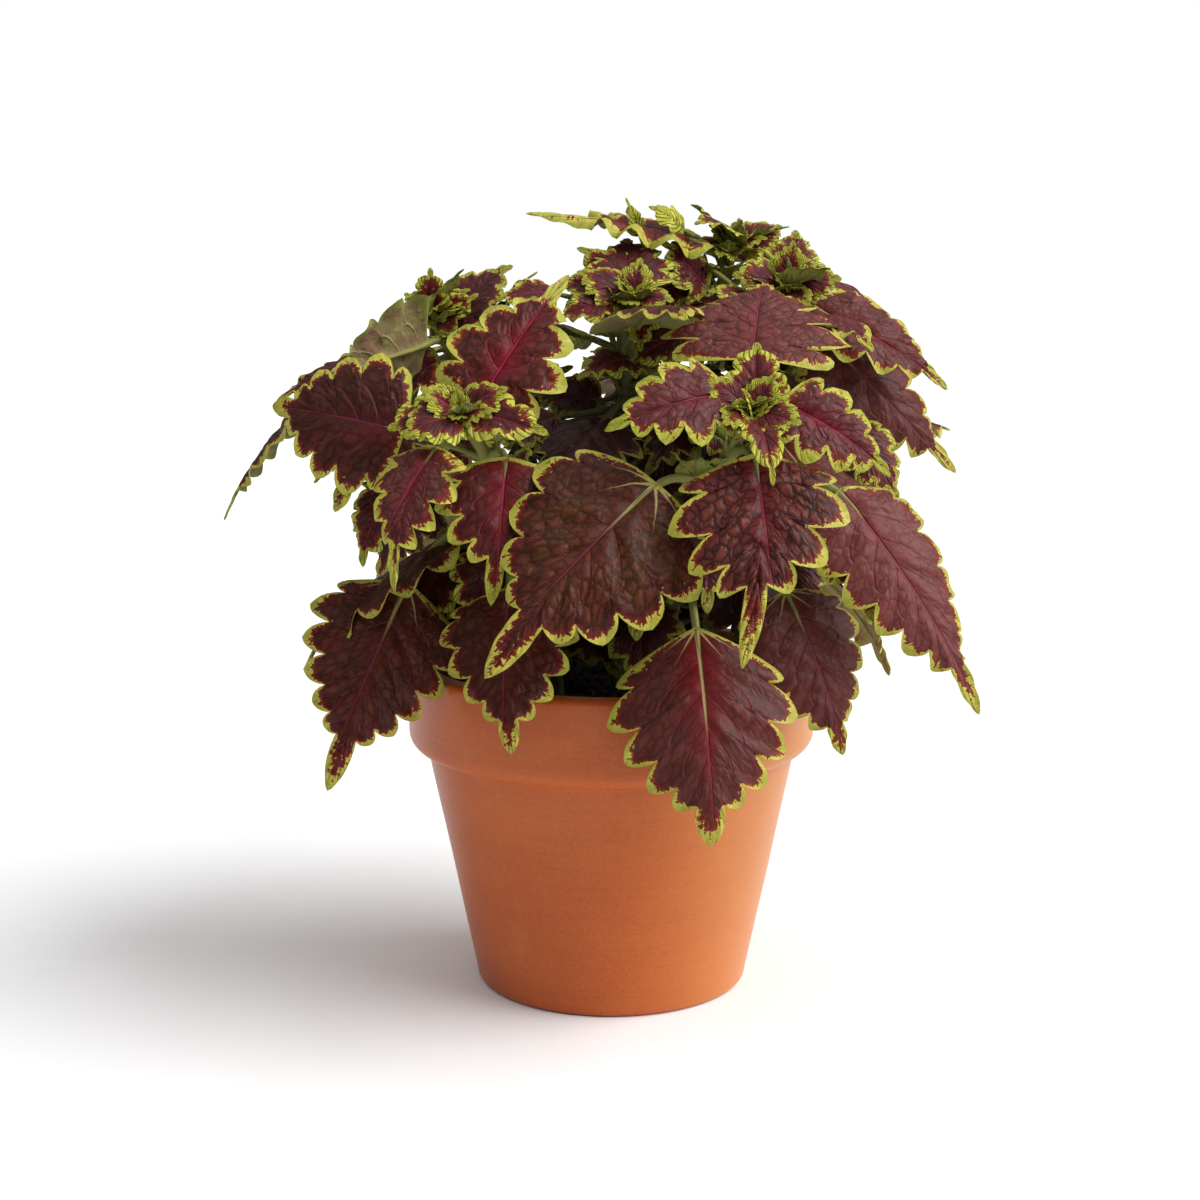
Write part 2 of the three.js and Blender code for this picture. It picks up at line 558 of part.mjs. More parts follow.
/** Turns leaves a little about their hinges, round after round, until blades, stems and the rim are clear. */
function bendClear(leaves, lines) {
  const posts = lines.flatMap((line, stem) => (
    Array.from({ length: CLEAR.posts + 1 }, (_, i) => ({ stem, place: line.above(i / CLEAR.posts) }))
  ));
  const sides = new Map();
  for (let round = 0; round < CLEAR.rounds; round += 1) {
    leaves.forEach(watch);
    leaves.forEach((upper, i) => leaves.forEach((lower, j) => {
      const found = i === j ? [] : meeting(upper, lower);
      if (!found.length) return;
      const key = i * leaves.length + j;
      if (!sides.has(key)) sides.set(key, Math.sign(found.reduce((sum, f) => sum + f.height, 0)) || 1);
      part(upper, lower, sides.get(key), found);
    }));
    leaves.forEach((leaf) => {
      clearPosts(leaf, posts);
      leaf.turn(leaf.push.clampLength(0, CLEAR.turnLimit));
    });
  }
}

// ---------------------------------------------------------------- assembly
const root = new THREE.Group();
const lines = STEMS.map((stem) => new StemLine(stem));
const foliage = STEMS.map((stem, i) => leavesOf(stem, lines[i], i));
bendClear(foliage.flat(), lines);

const stemTube = (line, extra) => tube(line, {
  sides: STEM.sides, steps: STEM.steps, from: STEM.baseRadius + extra, to: STEM.tipRadius + extra,
});
const stalkTube = (leaf, extra) => tube(leaf.stalkLine(), {
  sides: STALK.sides, steps: STALK.steps, from: STALK.baseRadius + extra, to: STALK.tipRadius + extra,
});
const hasStalk = (leaf) => leaf.hinge.distanceTo(leaf.from) > STALK.shortest;

/** Whether two solids' boxes meet. */
function near(a, b) {
  const [p, q] = [a.boundingBox(), b.boundingBox()];
  return [0, 1, 2].every((k) => p.min[k] < q.max[k] && q.min[k] < p.max[k]);
}

const stalksOf = (i, extra) => (
  [stemTube(lines[i], extra), ...foliage[i].filter(hasStalk).map((leaf) => stalkTube(leaf, extra))]
);
const bladesOf = (i, extra, edge) => (
  foliage[i].map((leaf) => bladeSolid(leaf, BLADE.thickness + 2 * extra, edge))
);
const stalks = STEMS.map((_, i) => stalksOf(i, 0));
const wideStalks = STEMS.map((_, i) => stalksOf(i, CLEAR.cut));
const blades = STEMS.map((_, i) => bladesOf(i, 0, 1));
const wideBlades = STEMS.map((_, i) => bladesOf(i, CLEAR.cut, CLEAR.edge));

STEMS.forEach((stem, i) => {
  // Where a blade still meets another stem's stalk or an earlier stem's blade, it is nicked round it.
  const trimmed = blades[i].map((blade) => {
    const others = STEMS.flatMap((_, j) => {
      if (j === i) return [];
      return j < i ? [...wideStalks[j], ...wideBlades[j]] : wideStalks[j];
    });
    return others.filter((other) => near(blade, other)).reduce((kept, other) => kept.subtract(other), blade);
  });
  const whole = [...stalks[i], ...trimmed].reduce((joined, piece) => joined.add(piece));
  const body = whole.decompose().reduce((a, b) => (a.volume() > b.volume() ? a : b));
  root.add(meshOf(body, stem.name, COLOURS.leaf, 0.5));
});

const holes = STEMS.map((stem) => {
  const radius = (STEM.baseRadius + STEM.holeGap) / Math.cos(Math.PI / STEM.holeSides);
  const post = new THREE.CylinderGeometry(radius, radius, 2 * STEM.rootDepth, STEM.holeSides);
  post.rotateX(Math.PI / 2);
  post.translate(stem.foot[0], stem.foot[1], SOIL.top - STEM.holeGap);
  return solid(post);
});
root.add(meshOf(holes.reduce((soil, hole) => soil.subtract(hole), makeSoil()), 'soil', COLOURS.soil, 1));
root.add(meshOf(makePot(), 'pot', COLOURS.clay, 0.85));

export default root;
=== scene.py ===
"""Coleus in a clay pot: the fine blades, stalks, stems, soil and pot that dress the frame's solids.

Lengths in the plant's own rule are millimetres, +Z up, the front towards -Y; meshes are written in metres.
"""

import math

import bpy
import numpy as np
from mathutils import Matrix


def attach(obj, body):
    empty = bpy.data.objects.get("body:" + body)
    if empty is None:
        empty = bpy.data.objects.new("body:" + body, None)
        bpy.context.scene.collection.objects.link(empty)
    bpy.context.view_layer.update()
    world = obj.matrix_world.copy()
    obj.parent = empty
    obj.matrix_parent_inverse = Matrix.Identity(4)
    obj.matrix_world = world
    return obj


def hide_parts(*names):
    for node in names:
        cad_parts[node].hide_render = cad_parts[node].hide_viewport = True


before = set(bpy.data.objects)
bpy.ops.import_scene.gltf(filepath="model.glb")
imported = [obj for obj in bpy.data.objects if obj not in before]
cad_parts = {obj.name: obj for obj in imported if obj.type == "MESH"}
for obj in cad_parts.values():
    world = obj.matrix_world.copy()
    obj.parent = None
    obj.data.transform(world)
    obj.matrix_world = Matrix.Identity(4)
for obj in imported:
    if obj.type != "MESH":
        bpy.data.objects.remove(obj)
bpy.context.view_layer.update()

MM = 0.001

# ---------------------------------------------------------------- the plant's rule, as its solids follow it
POT = {
    "height": 121.5, "rim_radius": 75.0, "rim_height": 32.4, "rim_round": 7.0, "rim_round_from": -70.0,
    "under_rim_radius": 68.0, "foot_radius": 50.5, "foot_round": 3.0, "mouth_radius": 67.5,
    "well_radius": 44.0, "floor": 8.0, "lip_round": 2.0, "lip_bevel": 0.5, "drain_radius": 9.0,
}
SOIL = {"top": 108.0, "bumps": 1.6, "gap": 0.3}
STEM = {"root_depth": 33.0, "base_radius": 3.1, "tip_radius": 1.7, "bend": 0.5}
STALK = {"base_radius": 1.8, "tip_radius": 1.3, "shortest": 5.0, "root": 0.1, "bend": 0.45}
BLADE = {
    "thickness": 0.5, "body": 0.74, "notch": 0.28, "base_round": 0.06, "taper": 0.7, "taper_power": 2.2,
    "end_power": 0.8, "end_swell": 0.5, "lobe": 0.65, "veer_base": -8.0, "veer_tip": 55.0,
    "veer_end": 20.0, "droop": 0.22, "ripple": 0.022,
}
CHANCE = {"heading": 9.0, "rise": 6.0, "size": 0.08, "sweep": 0.05}
CLEAR = {
    "rounds": 70, "blade": 2.6, "stalk": 3.2, "ease": 0.5, "turn_limit": 0.09, "total": 0.42, "young": 2,
    "posed": 0.12, "posed_total": 0.1, "lead": 0.08, "base": 0.25, "reach": 5.0, "step": 6.0,
    "arm": 10.0, "posts": 21,
}

# Leaf pairs from the growing tip down: distance below the tip, blade length, stalk length, rise of stalk and
# blade (degrees), half width over length, lobes a side, the blade's own bend (degrees), fold at the midrib.
PAIRS = [
    (0, 12, 0.5, 60, 55, 0.34, 1, 25, 0.4),
    (2, 22, 1.5, 45, 34, 0.40, 2, 35, 0.3),
    (7, 36, 5, 38, 18, 0.40, 3, 45, 0.2),
    (17, 55, 12, 30, 0, 0.40, 4, 50, 0.1),
    (34, 72, 19, 22, -20, 0.41, 5, 50, 0),
    (58, 80, 25, 16, -38, 0.41, 5, 45, 0),
    (84, 78, 27, 10, -50, 0.41, 5, 45, 0),
]
SHADED = [-2, -2, -2, -2, -0.5, 0.1, 0.3]


def hung(base, tip, face, **form):
    """A leaf in a place of its own: its blade's base and tip, the way its upper face looks, and its form."""
    return {"base": base, "tip": tip, "face": face, **form}


# The stems: node, foot in the soil, growing tip, heading of the first leaf, number of pairs, leaves with a
# place of their own.
STEMS = [
    ("stem_front_left", (-20, -28), (-50, -70, 217), 80, 6, {
        "1a": hung((-46, -72, 218), (-21, -80, 211), (0, -0.85, 0.6), wide=0.4),
        "1b": hung((-54, -71, 217), (-74, -74, 212), (-0.1, -0.9, 0.5), wide=0.5),
        "2a": hung((-44, -63, 221), (-15, -33, 262), (-0.1, -0.85, 0.5), wide=0.43, lobes=4, arch=25,
                   veer=-20, body=0.66, glow=0.85, crimp=0.2, notch=0.42, lime=1.5),
        "2b": hung((-58, -78, 207), (-78, -101, 165), (-0.5, -0.75, 0.4), wide=0.38, lobes=4, arch=30,
                   sweep=0.2, body=0.66, notch=0.4, lime=1.3, fade=0.35),
        "3a": hung((-70, -58, 210), (-115, -38, 215), (-0.15, -0.95, 0.35), wide=0.55, lobes=5, arch=30,
                   bronze=0.0, glow=0.12, fade=0.0),
        "3b": hung((-35, -75, 203), (-38, -98, 158), (0, -0.85, 0.5), wide=0.5, lobes=4, arch=30, body=0.62,
                   notch=0.36, bronze=0.0, glow=0.7),
        "4a": hung((-35, -58, 157), (-36, -94, 108), (-0.1, -0.85, 0.5), wide=0.42, lobes=5, arch=40),
        "4b": hung((-71, -47, 157), (-100, -69, 90), (0.15, -0.95, 0.3), wide=0.4, lobes=6, arch=35,
                   fold=-0.22, body=0.68, bronze=0.2, glow=0.08, fade=0.0),
    }),
    ("stem_front_right", (18, -30), (45, -80, 218), 0, 6, {
        "1a": hung((46, -78, 221), (47, -70, 241), (0, -0.9, 0.45), wide=0.55),
        "1b": hung((46, -84, 217), (51, -101, 197), (0.1, -0.8, 0.6), wide=0.3, arch=70),
        "2a": hung((55, -79, 222), (91, -80, 198), (0.2, -0.85, 0.5), wide=0.4, lobes=4, arch=45,
                   notch=0.38, lime=1.2, glow=0.6),
        "2b": hung((37, -79, 225), (-3, -92, 214), (-0.1, -0.85, 0.5), wide=0.42, lobes=4, arch=40,
                   notch=0.38, lime=1.2, glow=0.3, fade=0.45),
        "3a": hung((46, -66, 234), (54, -8, 259), (-0.05, -0.8, 0.75), wide=0.55, lobes=5, arch=25,
                   quilt=1.2, glow=0.3, crimp=0.15, notch=0.42, fade=0.6),
        "3b": hung((46, -87, 205), (51.5, -126, 144), (0, -0.8, 0.6), wide=0.46, lobes=4, arch=30,
                   sweep=-0.16, notch=0.4, body=0.58, quilt=1.8, glow=0.35, pale=0.0, fade=0.2),
        "4a": hung((78, -46, 189), (125, -64, 114), (0.35, -0.85, 0.4), wide=0.28, lobes=6, arch=30,
                   quilt=0.7, pale=0.0, fade=0.7),
        "4b": hung((13.5, -86, 196), (-43, -119, 141), (0, -0.87, 0.48), wide=0.44, lobes=5, arch=25,
                   notch=0.24, sweep=0.04, veer=-20, body=0.64, quilt=1.2, bronze=1.0, glow=0.05, fade=0.0),
        "5a": hung((28, -73, 146), (33, -108, 81), (0.05, -0.9, 0.4), wide=0.5, lobes=5, arch=35, veer=12,
                   bronze=0.1, quilt=0.6, glow=0.7, pale=2.0, fade=0.3),
        "5b": hung((60, -46, 154), (80, -62, 100), (0.35, -0.9, 0.35), wide=0.44, lobes=5, arch=30,
                   quilt=0.6, pale=1.0, fade=0.4),
    }),
    ("stem_middle", (2, 2), (7, -5, 252), 20, 6, {
        "1a": hung((10, -8, 250), (10, -21, 235), (0, -0.8, 0.5), wide=0.42, lobes=3),
        "1b": hung((-1, -6, 254), (-18, 2, 260), (-0.1, -0.8, 0.7), wide=0.48, lobes=3),
        "2b": hung((7, 0, 256), (4, 28, 274), (0, -0.8, 0.6), wide=0.56, lobes=4, arch=20),
        "2a": hung((1, -8, 252), (-20, -16, 245), (0, -0.7, 0.8), wide=0.42),
        "3b": hung((8, -14, 232), (-12, -34, 226), (-0.2, -0.7, 0.75), wide=0.42),
        "4b": hung((-2, -20, 212), (-22, -58, 184), (-0.2, -0.8, 0.6), wide=0.42),
        "5a": hung((10, -18, 176), (14, -66, 140), (0.2, -0.7, 0.7), wide=0.4),
        "5b": hung((30, -12, 180), (56, -38, 124), (0.3, -0.8, 0.4), wide=0.42),
    }),
    ("stem_top", (17, 22), (46, 40, 270), 90, 6, {
        "2a": hung((46, 38, 273), (31, 22, 279), (0.2, -0.3, 1), wide=0.46, arch=80),
        "3b": hung((38, 37, 272), (-31, 18, 283), (0, -0.2, 1), wide=0.34, lobes=4, arch=15, ripple=-0.05,
                   body=0.6, fold=0.1, lime=6.0, crimp=0.0),
        "3a": hung((58, 36, 262), (106.4, 34, 243), (0.3, -0.15, 1), wide=0.34, lime=1.6),
        "5b": hung((52, 24, 220), (98, 10, 160), (0.5, -0.7, 0.5), wide=0.41),
    }),
    ("stem_upper_left", (-26, 4), (-66, 12, 246), 60, 7, {
        "1a": hung((-66, 9, 248), (-65, 5, 264), (0, -0.9, 0.4), wide=0.5),
        "2a": hung((-62, 16, 240), (-38, 32, 265), (-0.15, -0.8, 0.6), wide=0.4, lobes=4),
        "2b": hung((-65, 0, 237), (-93, -52, 225), (-0.75, 0.55, 0.3), wide=0.42, lobes=4, fold=0.2, arch=10, lime=2.2),
        "3a": hung((-84, 6, 230), (-122, -2, 216), (0, -0.3, 1), wide=0.42, arch=35),
        "4a": hung((-103, -6, 222), (-136.5, -30, 177), (-0.78, 0, 0.6), wide=0.3, arch=30, lime=1.5),
        "5a": hung((-62, 17, 198), (-87, 15, 146), (-0.5, -0.8, 0.3), wide=0.41),
        "6a": hung((-50, -12, 168), (-84, -28, 124), (-0.5, -0.5, 0.7), wide=0.4),
    }),
    ("stem_upper_right", (32, 2), (63, 8, 257), 40, 7, {
        "2a": hung((64, 9, 258), (69, 26, 277), (0, -0.8, 0.6), wide=0.46),
        "2b": hung((72, 8, 250), (121, -3, 220), (0.1, -0.6, 0.8), wide=0.36, lobes=4, arch=30),
        "4a": hung((75, 4, 238), (123, 15, 182), (0.3, -0.85, 0.45), wide=0.34, arch=25, notch=0.4),
    }),
    ("stem_back_left", (-18, 30), (-50, 56, 238), 28, 7, {}),
    ("stem_back", (4, 36), (4, 44, 248), 80, 7, {}),
    ("stem_back_right", (36, 30), (76, 46, 232), 20, 7, {
        "4a": hung((74, 49, 202), (135.6, 80, 197), (0.1, 0, 1), wide=0.36, arch=30, body=0.84),
    }),
]
# Lesser leaves among the main ones, a stem's own: distance of their joint below the tip, then their place.
INNER = {
    "stem_front_left": [
        (36, hung((-73, -50, 194), (-86, -60, 165), (-0.5, -0.8, 0.3), wide=0.44)),
        (24, hung((-47, -35, 213), (-56, -54, 192), (-0.1, -0.8, 0.5), wide=0.44)),
        (62, hung((-40, -42, 168), (-48, -60, 140), (-0.1, -0.9, 0.4), wide=0.44)),
        (84, hung((-40, -30, 145), (-21, -58, 127), (0.1, -0.8, 0.6), wide=0.42)),
        (80, hung((-58, -20, 161), (-70, -40, 134), (-0.4, -0.8, 0.4), wide=0.42)),
        (88, hung((-56, -14, 154), (-60, -24, 124), (-0.1, -0.9, 0.2), wide=0.46)),
    ],
    "stem_front_right": [
        (40, hung((30, -46, 184), (31, -68, 150), (0.2, -0.9, 0.3), wide=0.42)),
        (90, hung((53, -30, 136), (68, -50, 108), (0.2, -0.9, 0.3), wide=0.44)),
        (70, hung((10, -38, 148), (14, -62, 117), (-0.1, -0.8, 0.6), wide=0.44)),
        (84, hung((24, -14, 158), (25, -24, 126), (0, -0.95, 0.2), wide=0.46)),
        (76, hung((64, -6, 164), (68, -16, 132), (0.2, -0.9, 0.2), wide=0.46)),
    ],
    "stem_middle": [
        (8, hung((-20, -5, 255), (-42, -12, 253), (0.1, -0.6, 0.8), wide=0.42)),
        (6, hung((7, 12, 257), (-14, 18, 271), (0, -0.8, 0.6), wide=0.42)),
        (22, hung((-4, 2, 216), (-31, 8, 218), (0.1, -0.8, 0.6), wide=0.42)),
        (30, hung((32, -12, 218), (12, -38, 193), (-0.1, -0.8, 0.6), wide=0.42)),
        (34, hung((30, -20, 220), (40, -40, 194), (0.2, -0.8, 0.6), wide=0.44)),
        (38, hung((-18, -20, 211), (-42, -38, 200), (-0.1, -0.7, 0.7), wide=0.42)),
        (18, hung((29, -10, 243), (5, -22, 230), (-0.1, -0.8, 0.6), wide=0.4)),
        (96, hung((-18, -10, 146), (-2, -50, 122), (0, -0.8, 0.6), wide=0.42)),
        (50, hung((26, 8, 218), (34, -4, 184), (0, -1, 0.1), wide=0.5)),
        (54, hung((2, 10, 214), (6, 2, 180), (0, -1, 0.1), wide=0.5)),
        (52, hung((20, -6, 204), (18, -18, 178), (0, -0.95, 0.2), wide=0.5)),
    ],
    "stem_top": [
        (14, hung((34, 30, 255), (13, 20, 273), (0, -0.8, 0.5), wide=0.42, lime=1.5)),
        (8, hung((10, 27, 271), (4, 25, 284.6), (0.2, -0.9, 0.3), wide=0.28, lime=5.0)),
        (5, hung((26, 34, 276), (12, 28, 283), (0, -0.7, 0.7), wide=0.5, lime=4.0)),
        (18, hung((39, 36, 258), (18, 30, 256), (0, -0.7, 0.7), wide=0.4)),
        (10, hung((56, 38, 266), (76, 30, 268), (0.2, -0.7, 0.7), wide=0.42, lime=1.4)),
    ],
    "stem_upper_left": [
        (20, hung((-62, 2, 230), (-87, 8, 217), (0, -0.7, 0.7), wide=0.44)),
        (10, hung((-66, 10, 243), (-48, 8, 254), (0, -0.8, 0.6), wide=0.44)),
        (50, hung((-70, 0, 190), (-92, -14, 168), (-0.4, -0.8, 0.4), wide=0.44)),
    ],
    "stem_upper_right": [
        (50, hung((84, -8, 207), (102, -18, 180), (0.3, -0.8, 0.4), wide=0.44)),
        (12, hung((50, 4, 252), (34, -4, 256), (0, -0.7, 0.7), wide=0.42)),
        (16, hung((30, 30, 262), (19, 26, 246), (0, -0.85, 0.5), wide=0.5)),
        (62, hung((94, 6, 194), (98, 0, 170), (0.2, -0.9, 0.3), wide=0.46)),
        (40, hung((46, 8, 210), (30, -8, 186), (0, -0.8, 0.6), wide=0.42)),
    ],
    "stem_back_left": [
        (30, hung((-38, 44, 214), (-14, 34, 226), (0, -0.8, 0.6), wide=0.42)),
        (60, hung((-30, 30, 180), (-44, 12, 158), (0, -0.8, 0.5), wide=0.44)),
    ],
    "stem_back": [
        (26, hung((8, 36, 226), (26, 24, 236), (0, -0.8, 0.6), wide=0.42)),
        (64, hung((6, 30, 184), (22, 12, 164), (0, -0.8, 0.5), wide=0.44)),
        (100, hung((0, 20, 148), (14, 2, 132), (0, -0.8, 0.5), wide=0.44)),
    ],
    "stem_back_right": [
        (50, hung((60, 30, 186), (54, 10, 166), (0, -0.8, 0.5), wide=0.44)),
    ],
}
# Side shoots in the axils of the lower pairs: length, its growth down the stem, then for each of its leaves the
# turn about the shoot, the rise, the length and its growth down the stem.
SHOOT = {"long": 5.0, "grows": 0.1, "rise": 58, "from": 2, "leaves": [(85, 18, 13, 0.09), (-85, 18, 13, 0.09),
                                                                      (0, 42, 11, 0.06)]}


def draw(seed):
    """A settled draw between -1 and 1 for each whole number."""
    far = math.sin(seed * 12.9898 + 4.1414) * 4375.8545
    return 2 * (far - math.floor(far)) - 1


def mix(a, b, share):
    """The value a share of the way from a to b."""
    return a + (b - a) * share


def unit(v):
    """Vectors brought to length one."""
    return v / np.maximum(np.linalg.norm(v, axis=-1, keepdims=True), 1e-12)


def dot(a, b):
    """Dot products along the last axis, which is kept."""
    return np.sum(a * b, axis=-1, keepdims=True)


def smooth(low, high, x):
    """0 below low, 1 above high, and an S-shaped rise between them."""
    t = np.clip((x - low) / (high - low), 0, 1)
    return t * t * (3 - 2 * t)


def stem_points(foot, tip, t):
    """Quadratic curve: upright from the soil at t = 0, one bend at half height, the growing tip at t = 1."""
    foot = np.array([*foot, SOIL["top"]])
    tip = np.array(tip, float)
    knee = np.array([foot[0], foot[1], mix(SOIL["top"], tip[2], STEM["bend"])])
    t = np.asarray(t, float)[..., None]
    return (1 - t) ** 2 * foot + 2 * t * (1 - t) * knee + t * t * tip


def stem_span(foot, tip):
    """Straight distance from a stem's foot to its growing tip."""
    return math.dist((*foot, SOIL["top"]), tip)


def leaves_of(number):
    """The leaves of a stem, in opposite pairs, each pair a quarter turn from the next, as a list of forms."""
    _, foot, tip, first, pairs, posed = STEMS[number]
    span = stem_span(foot, tip)
    outward = math.atan2(tip[1], tip[0])
    leaves = []
    for rank, (below, size, stalk, stalk_rise, rise, wide, lobes, arch, fold) in enumerate(PAIRS[:pairs]):
        for half, letter in enumerate("ab"):
            seed = 100 * number + 10 * rank + half
            heading = math.radians(first + 90 * rank + 180 * half + CHANCE["heading"] * draw(seed))
            own = posed.get(f"{rank}{letter}")
            if math.cos(heading - outward) < SHADED[rank] and not own:
                continue
            t = 1 - below / span
            hinge = stem_points(foot, tip, t)
            after = min(t + 0.02, 1)
            growth = unit(stem_points(foot, tip, after) - stem_points(foot, tip, after - 0.04))
            axis = unit(mix(np.array([0.0, 0.0, 1.0]), growth, max(1 - rank / 5, 0)))
            level = np.array([math.cos(heading), math.sin(heading), 0.0])
            level = unit(level - dot(level, axis) * axis)

            def raised(degrees):
                return level * math.cos(math.radians(degrees)) + axis * math.sin(math.radians(degrees))

            lift = rise + CHANCE["rise"] * draw(seed + 3)
            long = size * (1 + CHANCE["size"] * draw(seed + 5))
            base = hinge + raised(stalk_rise) * stalk
            placed = {"base": base, "tip": base + raised(lift) * long, "face": raised(lift + 90)}
            form = {
                "wide": wide, "lobes": lobes, "arch": arch, "fold": fold, "notch": BLADE["notch"],
                "sweep": CHANCE["sweep"] * draw(seed + 7), "ripple": BLADE["ripple"],
                "veer": BLADE["veer_base"], "body": BLADE["body"],
            }
            leaves.append({
                **placed, **form, **(own or {}), "hinge": hinge, "rank": rank, "stem": number,
                "posed": bool(own), "turned": 0.0, "chance": 0.5 + 0.5 * draw(seed + 11),
            })
    return leaves


def stacked(leaves):
    """The forms of many leaves as one table of arrays."""
    return {key: np.array([leaf[key] for leaf in leaves], float) for key in leaves[0]}


def pick(table, rows):
    """Rows of the table, with an axis added for points, so that they meet arrays of points a leaf."""
    return {key: column[rows][:, None] for key, column in table.items()}


def settle(table):
    """Works out each blade's arc length, radius and own axes from its base, its tip and the way it looks."""
    along = table["tip"] - table["base"]
    chord = np.linalg.norm(along, axis=-1, keepdims=True)
    along = along / chord
    up = unit(table["face"] - dot(table["face"], along) * along)
    half = np.radians(table["arch"]) / 2
    table["length"] = chord[..., 0] * half / np.sin(half)
    table["radius"] = table["length"] / (2 * half)
    cos, sin = np.cos(half)[..., None], np.sin(half)[..., None]
    table["ahead"] = along * cos + up * sin
    table["up"] = up * cos - along * sin
    table["side"] = np.cross(up, along)


def reach(leaf, u):
    """Half width without notches: an opening that flattens out, times a taper towards the end lobe."""
    u = np.maximum(u, 0)
    body = np.minimum(u / leaf["body"], 1)
    opening = 1 - np.exp(-u / BLADE["base_round"])
    return leaf["wide"] * leaf["length"] * opening * (1 - BLADE["taper"] * body ** BLADE["taper_power"])


def flat(leaf, u, v):
    """Flat blade: u runs up the midrib, v across it. The half width is the reach times a tooth for each lobe,
    the absolute sine of the lobe count; rows veer forwards, more so towards the tip; the halves fold up from
    the midrib, droop outwards and ripple with the lobes. Gives distances along, across and above."""
    body = np.minimum(u / leaf["body"], 1)
    rest = np.maximum((u - leaf["body"]) / (1 - leaf["body"]), 0)
    across = np.abs(v)
    tooth = np.abs(np.sin(np.pi * leaf["lobes"] * body)) ** BLADE["lobe"]
    end = np.maximum(1 - rest, 0) ** BLADE["end_power"] * (1 + BLADE["end_swell"] * rest)
    out = reach(leaf, u) * (1 - leaf["notch"] + leaf["notch"] * tooth) * end
    late = mix(BLADE["veer_tip"], BLADE["veer_end"], rest)
    veer = np.radians(np.where(rest > 0, late, mix(leaf["veer"], BLADE["veer_tip"], body)))
    length = leaf["length"]
    s = length * u + across * out * np.sin(veer)
    y = v * out * np.cos(veer) + leaf["sweep"] * length * (s / length) ** 2
    wave = np.cos(2 * np.pi * leaf["lobes"] * body) * np.where(rest > 0, 1 - rest, 1)
    hang = leaf["ripple"] * length * wave - BLADE["droop"] * out
    return s, y, across * leaf["fold"] * out + across ** 2 * hang


def bent(leaf, s, y, z):
    """Places of points s along, y across and z above a blade whose midrib is an arc of a circle."""
    angle, radius = s / leaf["radius"], leaf["radius"]
    forward, lift = (radius + z) * np.sin(angle), (radius + z) * np.cos(angle) - radius
    return (leaf["base"] + leaf["ahead"] * forward[..., None] + leaf["side"] * y[..., None]
            + leaf["up"] * lift[..., None])


def over(leaf, points):
    """Where points lie by a blade: whether over or under it, how far along, across and above, its margin."""
    away = points - leaf["base"]
    x = dot(away, leaf["ahead"])[..., 0]
    w = dot(away, leaf["up"])[..., 0] + leaf["radius"]
    u = leaf["radius"] * np.arctan2(x, w) / leaf["length"]
    y = dot(away, leaf["side"])[..., 0] - leaf["sweep"] * leaf["length"] * u * u
    margin = reach(leaf, u + CLEAR["lead"])
    off = np.minimum(np.abs(y), margin)
    hang = BLADE["droop"] * off * off / (margin + 1)
    height = np.hypot(x, w) - leaf["radius"] - leaf["fold"] * off + hang
    inside = (u > -0.05) & (u < 1.03) & (np.abs(y) < margin + 1)
    return inside, u, y, margin, height


def stalk_line(leaf, t):
    """Quadratic curve from inside the stem to inside the blade's base, arriving along the blade."""
    end = bent(leaf, STALK["root"] * leaf["length"], 0 * leaf["length"], 0 * leaf["length"])
    pull = STALK["bend"] * np.linalg.norm(leaf["hinge"] - leaf["base"], axis=-1, keepdims=True)
    knee = leaf["base"] - leaf["ahead"] * pull
    t = np.asarray(t, float)[..., None]
    return (1 - t) ** 2 * leaf["hinge"] + 2 * t * (1 - t) * knee + t * t * end


ACROSS = (-0.9, -0.45, 0, 0.45, 0.9)
PROBES = np.array([(u, v) for u in (0.12, 0.35, 0.58, 0.8) for v in ACROSS] + [(1, 0)])
MIDDLE = len(PROBES) // 2
STALK_PROBES = np.array([0.45, 0.65, 0.85])


def turning(arm, push):
    """The small turn about a hinge that moves the end of an arm by a push."""
    return np.cross(arm, push) / np.maximum(dot(arm, arm), CLEAR["arm"] ** 2)


def part_leaves(table, points, share, pairs, sides, allowed):
    """Turns that part each two leaves where a point of one lies too near the other's blade."""
    i, j = pairs
    middle = points[:, MIDDLE]
    near = np.linalg.norm(middle[i] - middle[j], axis=1) <= table["length"][i] + table["length"][j]
    i, j, rows = i[near], j[near], np.flatnonzero(near)
    inside, u, _, _, height = over(pick(table, j), points[i])
    kin = (table["stem"][i] == table["stem"][j])[:, None]
    found = inside & allowed[rows] & (~kin | (u > CLEAR["base"]))
    some = found.any(axis=1)
    i, j, rows, u, height, found = i[some], j[some], rows[some], u[some], height[some], found[some]
    fresh = sides[rows] == 0
    lie = np.where(np.sum(np.where(found, height, 0), axis=1) < 0, -1.0, 1.0)
    sides[rows[fresh]] = lie[fresh]
    side = sides[rows]
    worst = np.argmin(np.where(found, side[:, None] * height, np.inf), axis=1)
    row = np.arange(len(i))
    lack = CLEAR["blade"] - side * height[row, worst]
    total = share[i] + share[j]
    go = (lack > 0) & (total > 0)
    i, j, row, worst, side, lack, total = (x[go] for x in (i, j, row, worst, side, lack, total))
    angle = (u[row, worst] * table["length"][j] / table["radius"][j])[:, None]
    normal = table["up"][j] * np.cos(angle) + table["ahead"][j] * np.sin(angle)
    push = normal * (side * lack * CLEAR["ease"] / total)[:, None]
    at = points[i, worst]
    turns = np.zeros((len(share), 3))
    np.add.at(turns, i, turning(at - table["hinge"][i], push * share[i][:, None]))
    np.add.at(turns, j, turning(at - table["hinge"][j], -push * share[j][:, None]))
    return turns


